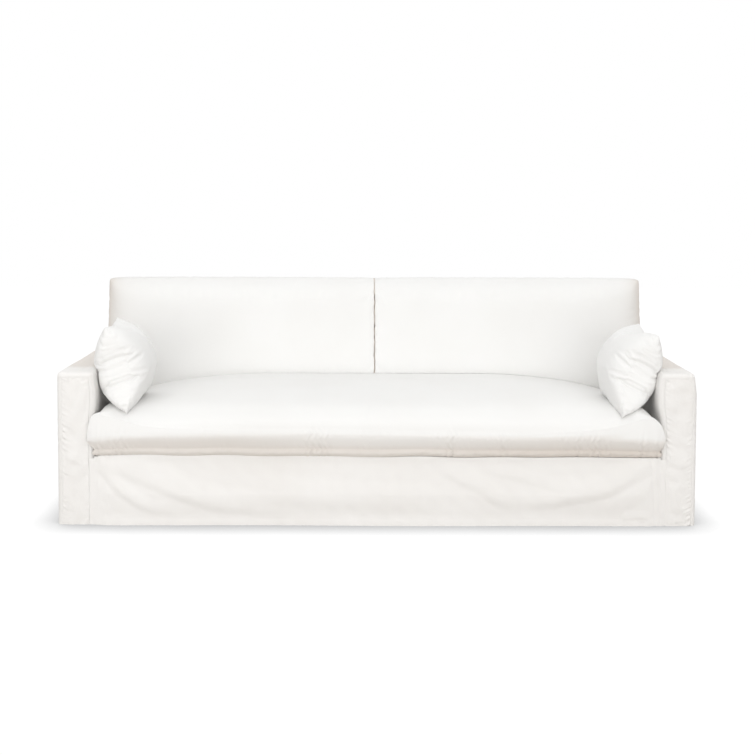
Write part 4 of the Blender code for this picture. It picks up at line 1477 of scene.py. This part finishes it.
@dataclass
class SeatCushion:
    """The bench seat cushion: boxed, strongly crowned, with a soft nose."""

    sizes: CoverSizes
    finish: Finish
    top: float = 0.457
    undercut: float = 0.02
    nose_power: Pair = (0.3, 0.1)
    end_soft: float = 0.115
    level: float = 0.45
    rear_fall: float = 0.74
    rest_gap: float = 0.002
    end_gap: float = 0.0025
    rear_gap: float = 0.006
    pitch: float = 0.0105
    loaded: Pair = (0.52, 0.6)
    filling: Filling = Filling(cap=0.006, growth=0.012)
    band_puckers: tuple[Puckers, ...] = (
        Puckers(201, spacing=0.02, height=0.0034, reach=0.04, lean=0.45, base=0.24, root=0.004,
                patches=((-1.02, 0.13, 1.3), (-0.26, 0.1, 0.9), (0.26, 0.08, 0.7),
                         (0.47, 0.1, 0.9), (0.78, 0.12, 0.8), (1.05, 0.1, 1.3))),
        Puckers(205, spacing=0.01, height=0.0013, reach=0.026, lean=-0.3, base=0.5, root=0.003),
    )

    @property
    def half(self) -> float:
        """Return half the cushion's width at its seams."""
        return self.sizes.arm_inside - self.end_gap

    @property
    def rear(self) -> float:
        """Return how far behind the arm fronts the cushion ends."""
        return self.sizes.seat_depth - self.rear_gap

    def upper_seam(self, x: Array) -> Array:
        """Return the height of the upper seam, which isn't quite straight."""
        return along_table(UPPER_SEAM, x)

    def top_at(self, x: Array, behind: Array) -> Array:
        """Return the height of the cushion's top at x and at a depth behind the fronts."""
        x = np.clip(x, -self.half, self.half)
        seam = self.upper_seam(x)
        q = np.maximum(np.abs(x) - self.half + self.end_soft, 0.0) / self.end_soft
        ends = [np.maximum(1 - q ** power, 0.0) ** root
                for power, root in (SEAT_ENDS[Side.LEFT], SEAT_ENDS[Side.RIGHT])]
        end = np.where(x < 0, *ends)
        fall = np.maximum(np.abs(x) - self.level, 0.0) / (self.half - self.level)
        end = end * (1 - self.rear_fall * smooth(-0.05, 0.65, behind) * fall ** 2)
        nose = self.nose
        t = np.clip((behind + nose) / (self.rear + nose), 0.0, 1.0)
        power = lerp(*self.nose_power, smooth(0.8, 1.04, np.abs(x)))
        front = (1 - np.maximum(1 - t / 0.5, 0.0) ** 3) ** power
        back = 1 - np.maximum((t - 0.5) / 0.5, 0.0) ** 8
        return seam + (self.top - seam) * end * np.where(t < 0.5, front, back)

    @property
    def nose(self) -> float:
        """Return how far the upper seam stands in front of the arm fronts."""
        return -BOXING_SECTION[-1][1]

    def place(self, u: Array, v: Array, w: Array) -> Array:
        """Place points of the skin; u runs across, v backwards and w upwards."""
        size = self.sizes
        height = (w + 1) / 2
        front = along_table(BOXING_SECTION, height) * (1 - 0.35 * u ** 8)
        ahead = -along_table(BOXING_SECTION, height) / self.nose
        behind = lerp(front, self.rear - self.undercut * 0.3 * (1 - height), (v + 1) / 2)
        flare = np.where(u < 0, SEAT_FLARE[Side.LEFT], SEAT_FLARE[Side.RIGHT])
        flare = flare * (1 - smooth(-0.012, -0.001, behind)) * (0.5 + 0.5 * ahead)
        x = u * (self.half - 0.004 * (1 - height) + flare)
        z = lerp(SEAT_LINE.at(x), self.upper_seam(x), height)
        z = np.where(w == 1, self.top_at(u * self.half, behind), z)
        inner = np.minimum(smooth(0, 0.06, self.half - np.abs(x)),
                           smooth(0, 0.03, behind - front))
        inner = np.minimum(inner, smooth(0, 0.06, self.rear - behind))
        low = lerp(SEAT_LINE.at(x), size.deck_height + self.rest_gap, inner)
        z = np.where(w == -1, low, z)
        return np.stack([x, size.front + behind, z], axis=-1)

    def stations_along(self) -> Array:
        """Return the rows from front to back, closer together on the nose."""
        near = -1 + np.array([0, 0.0004, 0.0014, 0.0035, 0.0075, 0.0135, 0.022, 0.033, 0.047,
                              0.063, 0.081])
        return np.concatenate([near, stations(-0.9, 0.93, 0.045), [0.96, 0.985, 1.0]])

    def build(self) -> Piece:
        """Make, swell and dress the cushion.

        Returns:
            The finished cushion.
        """
        width = 2 * self.half
        rows = np.array([h for h, _ in BOXING_SECTION]) * 2 - 1
        rows = np.sort(np.concatenate([rows, [-0.16, 0.14, 0.45]]))
        form = FilledForm("seat_cushion_filled", self.place,
                          stations(-1, 1, 2 * self.pitch / width), self.stations_along(),
                          rows)
        made = form.build()
        u, v, w = form.cells
        rim = (np.abs(w) == 1) & ((np.abs(u) == 1) | (np.abs(v) == 1))
        behind = points_of(made)[:, 1] - self.sizes.front
        held = np.where(rim | (w == -1), 1.0, np.round(smooth(*self.loaded, behind), 1))
        self.filling.swell(made, held)
        subdivide(made)
        self.gather(made)
        dress(made, self.finish, "seat_cushion")
        return made

    def gather(self, made: Piece) -> None:
        """Draw up the front into puckers along its seams and paint shade on to the boxing."""
        seam_depth, seam_width = 0.0016, 0.003
        places, normal = points_of(made), points_of(made, "normal")
        x, behind, z = places[:, 0], places[:, 1] - self.sizes.front, places[:, 2]
        near = 1 - smooth(0.004, 0.03, behind)
        low_seam, high_seam = SEAT_LINE.at(x), self.upper_seam(x)
        height = (z - low_seam) / (high_seam - low_seam)
        step = lerp(low_seam, high_seam, BOXING_SECTION[BOXING_STEP][0])
        low, high = np.abs(z - step), np.abs(z - high_seam)
        lift = sum(p.relief(x, np.minimum(low, high)) for p in self.band_puckers) * near
        above = smooth(0.0, 0.012, z - high_seam)
        lift = lift * (1 - 0.75 * above)
        groove = -seam_depth * near * (np.exp(-(high / seam_width) ** 2)
                                       + 0.8 * np.exp(-(low / seam_width) ** 2))
        set_points(made, places + normal * (lift + groove)[:, None])
        band = near * (1 - smooth(1.0, 1.04, height))
        # Painted shade at both ends of the front, where the puckered boxing falls into shade.
        ends = (0.24 * smooth(0.15, 0.7, -x) * bell(height - 0.62, 0.35)
                + 0.2 * smooth(0.1, 0.7, x))
        paint_shade(made, (along_table(BOXING_PAINTED_SHADE, height) + ends) * band)


# ---- back cushions
@dataclass
class BackCushion:
    """One back cushion, with an ear that reaches out over its arm."""

    sizes: CoverSizes
    seat: SeatCushion
    finish: Finish
    side: Side
    top: float = 0.862
    edge: float = 0.105
    bulge: float = 0.078
    end: float = 1.217
    slit: float = 0.0003
    slit_fullness: float = 0.91
    ear_share: float = 0.34
    ear_step: float = 0.003
    ear_low: float = 0.006
    top_soft: float = 0.006
    bottom: float = 0.44
    low_guess: float = 0.46
    end_round: float = 0.008
    slit_wander: float = 0.0016
    lean_wander: float = 0.0022
    back_gap: float = 0.005
    rest_gap: float = 0.0004
    pitch: float = 0.0105
    filling: Filling = Filling(cap=0.006, growth=0.01)

    def place(self, u: Array, share: Array, w: Array) -> Array:
        """Place points of the skin; u runs outwards, share upwards and w forwards."""
        size, seat = self.sizes, self.seat
        below = share < self.ear_share - 1e-9
        middle = 1 - w * w
        slit = self.slit + self.slit_wander * np.maximum(
            Ripple(310, 0.035).at(share * 0.42) - 0.5, 0)
        far = self.end - self.end_round
        x = lerp(slit, far, (u + 1) / 2)
        knee = seat.half - 0.03
        squeezed = knee + (seat.half - 0.009 - knee) * (x - knee) / (far - knee)
        x = np.where(below & (x > knee), squeezed, x)
        end = np.where(below, seat.half - 0.001, self.end)
        x = np.where(u == 1, end - self.end_round * (1 - middle), x)
        reach = (x - slit) / (far - slit) * 2 - 1
        inner_roll = np.maximum(1 - np.abs(reach) ** 220, 0.0) ** 0.5
        plump_across = np.where(reach > 0, np.maximum(1 - np.abs(reach) ** 3.6, 0.0) ** 0.66,
                                lerp(self.slit_fullness, 1.0, inner_roll))
        lower_end = smooth(-0.002, 0.02, seat.half - x)
        plump_across = np.where(below, plump_across * lower_end, plump_across)
        plump_up = (1 - np.maximum(2 * share - 1, 0.0) ** 5) ** 0.55
        thick = (self.edge + self.bulge * plump_across * plump_up) * (w + 1) / 2
        y_guess = size.inside_back(lerp(self.low_guess, self.top, share))
        y_guess = y_guess - self.back_gap - thick
        low_end = seat.top_at(x, y_guess - size.front) + self.rest_gap
        step, ear = size.arm_height + self.ear_step, size.arm_height + self.ear_low
        z_below = lerp(low_end, step, share / self.ear_share)
        z_above = lerp(ear, self.top - self.top_soft,
                       (share - self.ear_share) / (1 - self.ear_share))
        z = np.where(below, z_below, z_above)
        z = np.where(share == 1, z + self.top_soft * middle * (1 - np.abs(u) ** 6), z)
        y = size.inside_back(z) - self.back_gap - thick
        wander = self.lean_wander * Ripple(317, 0.05).at(z) * (1 - smooth(0.02, 0.08, x))
        return np.stack([self.side.value * x + wander, y, z], axis=-1)

    def build(self) -> Piece:
        """Make, swell and dress the cushion.

        Returns:
            The finished cushion.
        """
        node = self.side.of("back_cushion")
        width, height = self.end, self.top - self.bottom
        across = np.concatenate([[-1, -0.9985, -0.9955, -0.99, -0.982],
                                 stations(-0.97, 1, 2 * self.pitch / width)])
        share = self.ear_share
        up = np.concatenate([[0, 0.004, 0.012], stations(0.026, share - 1e-6, self.pitch / height),
                             stations(share, 1, self.pitch / height)])
        through = np.concatenate([stations(-1, 0.7, 0.25), [0.9, 0.97, 1.0]])
        form = FilledForm(f"{node}_filled", self.place, across, up,
                          through)
        made = form.build()
        u, v, w = form.cells
        seams = (np.abs(w) == 1) & ((np.abs(u) == 1) | (v == 0) | (v == 1))
        still = seams | (w == -1) | (v == 0) | (u == -1)
        self.filling.swell(made, np.where(still, 1.0, 0.0))
        subdivide(made)
        # Painted shade: darker towards the cushion's outer end and within a few millimetres of the
        # slit between the two back cushions.
        x, y, z = points_of(made).T
        x = x * self.side.value
        ahead = smooth(0.04, 0.1, self.sizes.inside_back(z) - y)
        paint_shade(made, 0.9 * np.exp(-(self.end - x) / 0.035) * ahead
                 + 1 - smooth(0.0005, 0.0045, x))
        dress(made, self.finish, node)
        return made


# ---- pillows
@dataclass(frozen=True)
class PillowCorners:
    """Corners of one leaning pillow as (x, behind the arm front, z), and its fullness."""

    near_low: Triple
    far_low: Triple
    far_high: Triple
    near_high: Triple
    outward: float
    inward: float
    bow: float


PILLOWS = {
    Side.LEFT: PillowCorners(
        near_low=(-0.9482, -0.02, 0.4294), far_low=(-0.95, 0.395, 0.43),
        far_high=(-1.0737, 0.4, 0.7415), near_high=(-1.0485, 0.05, 0.7474),
        outward=0.122, inward=0.104, bow=0.022),
    Side.RIGHT: PillowCorners(
        near_low=(0.9234, -0.02, 0.418), far_low=(0.933, 0.39, 0.43),
        far_high=(1.0905, 0.4, 0.7219), near_high=(1.08, 0.05, 0.721),
        outward=0.108, inward=0.112, bow=0.01),
}


@dataclass
class Pillow:
    """One small knife-edge pillow that leans on its arm.

    Two flat squares of cloth are sewn together along their edges and blown up, which
    draws in the sides and wrinkles the cloth along the seam. The result is then bent so
    that its corners and its fullness are those of the leaning pillow.
    """

    sizes: CoverSizes
    seat: SeatCushion
    finish: Finish
    side: Side
    width: float = 0.42
    height: float = 0.4
    cells: int = 76
    pressure: float = 9.0
    frames: int = 34
    stiffness: float = 16.0
    bending: float = 0.05
    seam_shrink: float = 0.085
    start_fullness: float = 0.012
    arm_clear: float = 0.004
    arm_soft: float = 0.008
    brim: float = 0.008
    overhang: float = 1.1
    straighten: Pair = (0.6, 0.25)
    plump_inside: Pair = (0.65, 0.95)
    plump_outside: Pair = (0.38, 0.7)
    seat_clear: float = 0.0015
    corner_taper: float = 0.6
    low_inside: float = 0.8
    lens_outside: float = 0.5
    seam_wander: float = 0.3
    least: float = 0.35
    sink: float = 2.2
    seam_puckers: Puckers = Puckers(401, spacing=0.024, height=0.0026, reach=0.055,
                                    lean=-0.25, base=0.85, root=0.005)

    def grid(self) -> tuple[Array, Array]:
        """Return the places of one square's points, from -1 to 1 both ways."""
        steps = np.linspace(-1, 1, self.cells + 1)
        return tuple(np.meshgrid(steps, steps))

    def sheets(self) -> tuple[Array, Array]:
        """Return which places of the square lie on its rim, and the back sheet's points."""
        rim = np.maximum(*np.abs(self.grid())) > 1 - 1e-9
        back = np.arange(rim.size).reshape(rim.shape)
        back[~rim] = rim.size + np.arange((~rim).sum())
        return rim, back

    def sewn_squares(self) -> tuple[Piece, Array]:
        """Make the two flat squares, sewn along their edges.

        Returns:
            The object, and which of its points lie on the seam.
        """
        u, v = self.grid()
        rim, back = self.sheets()
        full = self.start_fullness * np.sqrt((1 - u * u) * (1 - v * v))
        flat_front = np.stack([u * self.width / 2, v * self.height / 2, full], axis=-1)
        flat_back = flat_front * (1, 1, -1)
        points = np.concatenate([flat_front.reshape(-1, 3), flat_back[~rim]])
        corner = grid_quads(*u.shape)
        quads = np.concatenate([corner, back.ravel()[corner][:, ::-1]])
        flat = flat_front.reshape(-1, 3)[:, :2]
        corners = np.concatenate([flat[corner], flat[corner][:, ::-1]])
        made = mesh_object(f"{self.side.of('pillow')}_filled", points, quads, corners)
        return made, np.concatenate([rim.ravel(), np.zeros((~rim).sum(), dtype=bool)])

    def blow_up(self, made: Piece, seam: Array) -> None:
        """Fill the sewn squares by a cloth simulation, with the seam drawn up.

        Args:
            made: The sewn squares.
            seam: Which points lie on the seam.
        """
        group = made.vertex_groups.new(name="seam")
        group.add(np.flatnonzero(seam).tolist(), 1.0, "REPLACE")
        group.add(np.flatnonzero(~seam).tolist(), 0.0, "REPLACE")
        set_points(made, blown_up(made, self.frames, self.stiffness, self.pressure,
                                  quality=6, mass=0.2, air_damping=2.0,
                                  shear_stiffness=self.stiffness / 4,
                                  bending_stiffness=self.bending,
                                  vertex_group_shrink=group.name,
                                  shrink_max=self.seam_shrink))

    def lean(self, places: Array) -> Array:
        """Bend the blown-up pillow on to its corners and against its arm.

        Args:
            places: Points of the pillow lying flat, round the origin.

        Returns:
            The same points on the sofa.
        """
        size, shape = self.sizes, PILLOWS[self.side]
        last = (self.cells + 1) ** 2 - 1
        ends = places[[0, self.cells, last - self.cells, last], :2]
        corner = np.abs(ends).mean(axis=0)
        flat = places[:, :2] / corner
        plain = self.plain_square()
        regular = smooth(0.7, 0.95, np.abs(plain[:, 0] * plain[:, 1]))[:, None]
        flat = lerp(flat, plain, regular)
        for axis in (0, 1):
            middle = np.abs(flat[:, 1 - axis]) < 0.1
            drawn_in = 1 / np.abs(flat[middle, axis]).max() - 1
            along = 1 - flat[:, 1 - axis] ** 2
            flat[:, axis] *= 1 + self.straighten[axis] * drawn_in * along
        a, b = (flat[:, 0] + 1) / 2, (flat[:, 1] + 1) / 2
        near_low, far_low, far_high, near_high = np.array(
            [shape.near_low, shape.far_low, shape.far_high, shape.near_high])
        point = lerp(lerp(near_low, far_low, a[:, None]),
                     lerp(near_high, far_high, a[:, None]), b[:, None])
        backwards = (far_low - near_low) + (far_high - near_high)
        upwards = (near_high - near_low) + (far_high - far_low)
        inwards = np.cross(backwards, upwards)
        inwards = inwards / np.linalg.norm(inwards)
        if inwards[0] * self.side.value > 0:
            inwards = -inwards
        full, facing, ridge = self.fullness(places)
        taper = np.minimum(np.abs(flat[:, 0] * flat[:, 1]), 1.0) ** 4
        far = smooth(0.0, 0.5, a)
        lens = np.maximum(4 * b * (1 - b), 0.0)
        inside = full ** lerp(*self.plump_inside, far)
        inside = inside * lens ** (self.low_inside * (1 - smooth(0.3, 0.6, b)))
        outside = full ** lerp(*self.plump_outside, far) * lens ** self.lens_outside
        depth = np.where(facing > 0, shape.inward * inside, -shape.outward * outside)
        depth = depth * (1 - self.corner_taper * taper) + ridge
        point = point + inwards * depth[:, None]
        sunk = np.maximum(depth, 0) * inwards[2] * lerp(self.sink, 0.0, smooth(0, 0.35, b))
        point[:, 2] -= sunk
        bow = shape.bow * np.maximum(4 * b * (1 - b), 0.0) * (1 - 0.5 * a)
        point[:, 0] -= self.side.value * bow
        reach = (size.arm_inside - self.arm_clear - self.arm_soft
                 + self.overhang * np.maximum(point[:, 2] - size.arm_height + self.brim, 0.0))
        over = np.abs(point[:, 0]) - reach
        pressed = reach + self.arm_soft * (1 - np.exp(-np.maximum(over, 0) / self.arm_soft))
        point[:, 0] = np.where(over > 0, self.side.value * pressed, point[:, 0])
        floor = self.seat.top_at(point[:, 0], point[:, 1]) + self.seat_clear
        point[:, 2] = np.maximum(point[:, 2], floor)
        point[:, 1] += size.front
        return point

    def plain_square(self) -> Array:
        """Return where each point lay on the flat squares, from -1 to 1 both ways."""
        square = np.stack([value.ravel() for value in self.grid()], axis=1)
        return np.concatenate([square, square[~self.sheets()[0].ravel()]])

    def fullness(self, places: Array) -> tuple[Array, Array, Array]:
        """Tell how full the blown-up pillow is, sheet by sheet.

        Args:
            places: Points of the pillow lying flat, round the origin.

        Returns:
            The share of the greatest half thickness at each point, 1 or -1 for its sheet,
            and how far the seam's own wander lifts it.
        """
        rim, back = self.sheets()
        rim, back = rim.ravel(), back.ravel()
        height = places[:, 2]
        half = np.maximum(height[:len(rim)] - height[back], 0.0) / 2
        most = half.max()
        middle = (height[:len(rim)] + height[back]) / 2
        half, middle = (np.concatenate([value, value[~rim]]) for value in (half, middle))
        facing = np.concatenate([np.ones(len(rim)), -np.ones((~rim).sum())])
        own = smooth(0.15, 0.5, half / most)
        full = np.maximum(lerp(half, height * facing, own), 0.0) / most
        plain = self.plain_square()
        room = np.maximum((1 - plain[:, 0] ** 2) * (1 - plain[:, 1] ** 2), 0.0)
        full = np.maximum(full, self.least * room ** 0.4)
        return full, facing, self.seam_wander * middle * (1 - own)

    def build(self) -> Piece:
        """Make, fill and dress the pillow.

        Returns:
            The finished pillow.
        """
        made, seam = self.sewn_squares()
        squares = points_of(made)
        self.blow_up(made, seam)
        set_points(made, self.lean(points_of(made)))
        if self.inside_out(made):
            made.data.flip_normals()
        self.gather(made, squares)
        subdivide(made)
        dress(made, self.finish, self.side.of("pillow"))
        return made

    def gather(self, made: Piece, squares: Array) -> None:
        """Draw up the cloth into small puckers across the seams.

        Args:
            made: The filled pillow.
            squares: Where its points lay on the flat squares.
        """
        x, y = squares[:, 0], squares[:, 1]
        across = self.width / 2 - np.abs(x)
        up = self.height / 2 - np.abs(y)
        near_seam = across < up
        along = np.where(near_seam, y + 3 * np.sign(x), x + 7 * np.sign(y))
        away = np.maximum(np.minimum(across, up), 0.0)
        stronger = np.where(near_seam & (x < 0), 1.0, 0.5) * smooth(0.015, 0.06, across + up)
        lift = self.seam_puckers.relief(along + np.sign(squares[:, 2]), away) * stronger
        set_points(made, points_of(made) + points_of(made, "normal") * lift[:, None])

    @staticmethod
    def inside_out(made: Piece) -> bool:
        """Tell whether a closed mesh's faces point inwards."""
        places, normal = points_of(made), points_of(made, "normal")
        return float(((places - places.mean(axis=0)) * normal).sum()) < 0


# ---- studio
@dataclass(frozen=True)
class View:
    """The camera in front of the sofa, a little to the left of its middle."""

    front: float
    lens: float = 50.74
    sensor: float = 36.0
    x: float = -0.0816
    distance: float = 4.0024
    height: float = 1.3342
    tilt: float = 3.0
    roll: float = 0.142
    shift_x: float = 0.0277
    shift_y: float = -0.1938

    def build(self) -> Piece:
        """Make the scene's camera.

        Returns:
            The camera.
        """
        data = bpy.data.cameras.new("view")
        data.lens = self.lens
        data.sensor_width = self.sensor
        data.sensor_fit = "HORIZONTAL"
        data.shift_x = self.shift_x
        data.shift_y = self.shift_y
        data.clip_end = 60.0
        camera = bpy.data.objects.new("view", data)
        camera.location = (self.x, self.front - self.distance, self.height)
        level = Euler((math.radians(90 - self.tilt), 0, 0)).to_matrix()
        turn = Euler((0, 0, math.radians(self.roll))).to_matrix()
        camera.rotation_euler = (level @ turn).to_euler()
        bpy.context.collection.objects.link(camera)
        bpy.context.scene.camera = camera
        return camera


@dataclass(frozen=True)
class Lamp:
    """One rectangular soft lamp."""

    name: str
    power: float
    size: Pair
    place: Triple
    aim: Triple

    def build(self) -> None:
        """Make the lamp and turn it towards what it lights."""
        data = bpy.data.lights.new(self.name, "AREA")
        data.shape = "RECTANGLE"
        data.size, data.size_y = self.size
        data.energy = self.power
        lamp = bpy.data.objects.new(self.name, data)
        lamp.location = self.place
        way = Vector(self.aim) - Vector(self.place)
        lamp.rotation_euler = way.to_track_quat("-Z", "Y").to_euler()
        bpy.context.collection.objects.link(lamp)


@dataclass(frozen=True)
class Studio:
    """A white room: pale floor, even light from all round and a large soft lamp in front."""

    floor_size: float = 16.0
    floor_colour: Triple = (0.58, 0.56, 0.54)
    seen_glow: float = 1.03
    painted_shadow_reach: float = 0.13
    painted_shadow_depth: float = 0.82
    sky: float = 1.3
    sky_at_sides: float = 0.37
    sky_even: float = 0.3
    lamps: tuple[Lamp, ...] = (
        Lamp("front", 72.0, (6.0, 2.0), (-0.6, -5.2, 1.0), (0.0, -0.3, 0.4)),
    )

    def build(self) -> None:
        """Make the floor, the world and the lamps, and set how the picture is toned."""
        scene = bpy.context.scene
        scene.view_settings.view_transform = "Standard"
        world = bpy.data.worlds.new("studio")
        world.use_nodes = True
        tree = world.node_tree
        sky = tree.nodes["Background"]
        way = add_node(tree, "ShaderNodeTexCoord")
        split = add_node(tree, "ShaderNodeSeparateXYZ", {"Vector": way.outputs["Generated"]})
        sideways = add_node(tree, "ShaderNodeMath", {0: split.outputs["X"]},
                            operation="ABSOLUTE")
        dim = add_node(tree, "ShaderNodeMapRange", {
            "Value": sideways.outputs[0], "From Min": self.sky_even, "To Min": self.sky,
            "To Max": self.sky_at_sides})
        fill_inputs(tree, sky, {"Color": WHITE, "Strength": dim.outputs["Result"]})
        seen = add_node(tree, "ShaderNodeBackground", {"Color": WHITE})
        self.shown_to_eye(tree, sky.outputs[0], seen.outputs[0],
                          tree.nodes["World Output"].inputs["Surface"])
        scene.world = world
        self.build_floor()
        for lamp in self.lamps:
            lamp.build()

    @staticmethod
    def shown_to_eye(tree: Tree, light: Socket, seen: Socket, target: Socket) -> None:
        """Let one shader light the room while the other one is what shows.

        Args:
            tree: The node tree to add to.
            light: The shader that gives the room its light.
            seen: The shader that shows directly.
            target: The input that takes the two together.
        """
        path = add_node(tree, "ShaderNodeLightPath")
        mix = add_node(tree, "ShaderNodeMixShader", {
            "Fac": path.outputs["Is Camera Ray"], 1: light, 2: seen})
        tree.links.new(mix.outputs[0], target)

    def build_floor(self) -> None:
        """Make the plain floor."""
        half = self.floor_size / 2
        corners = np.array([(-half, -half, 0), (half, -half, 0), (half, half, 0),
                            (-half, half, 0)], dtype=float)
        floor = mesh_object("floor", corners, np.array([[0, 1, 2, 3]]),
                            corners[None, :, :2])
        material, tree, shader = new_material("floor_paint")
        tree.nodes.remove(shader)
        paint = add_node(tree, "ShaderNodeBsdfDiffuse", {"Color": (*self.floor_colour, 1)})
        # To the eye the floor glows evenly white, darkened by ambient occlusion into a painted
        # contact shadow next to the cover; other rays see its plain diffuse colour.
        painted_contact_shadow = add_node(tree, "ShaderNodeAmbientOcclusion",
                           {"Distance": self.painted_shadow_reach}, samples=8)
        soften = add_node(tree, "ShaderNodeMix", {
            "Factor": self.painted_shadow_depth, MIX_FIRST: WHITE,
            MIX_SECOND: painted_contact_shadow.outputs["Color"]}, data_type="RGBA")
        glow = add_node(tree, "ShaderNodeEmission", {
            "Color": soften.outputs[MIX_RESULT], "Strength": self.seen_glow})
        self.shown_to_eye(tree, paint.outputs[0], glow.outputs[0],
                          tree.nodes["Material Output"].inputs["Surface"])
        floor.data.materials.append(material)


def corners(box: tuple[Vector, Vector]) -> list[list[float]]:
    """Return a box's two corners as plain lists."""
    return [list(box[0]), list(box[1])]


def main() -> None:
    """Build the cover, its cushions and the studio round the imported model."""
    logging.basicConfig(level=logging.INFO, format="%(name)s: %(message)s")
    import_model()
    sizes = CoverSizes.from_frame()
    View(sizes.front).build()
    Studio().build()
    BodyCover(sizes, COVER_COTTON.material(), THREAD.material()).build()
    seat = SeatCushion(sizes, SEAT_COTTON.material())
    seat.build()
    back_cotton = BACK_COTTON.material()
    pillow_cotton = PILLOW_COTTON.material()
    for side in Side:
        BackCushion(sizes, seat, back_cotton, side).build()
        Pillow(sizes, seat, pillow_cotton, side).build()


if __name__ == "__main__":
    main()
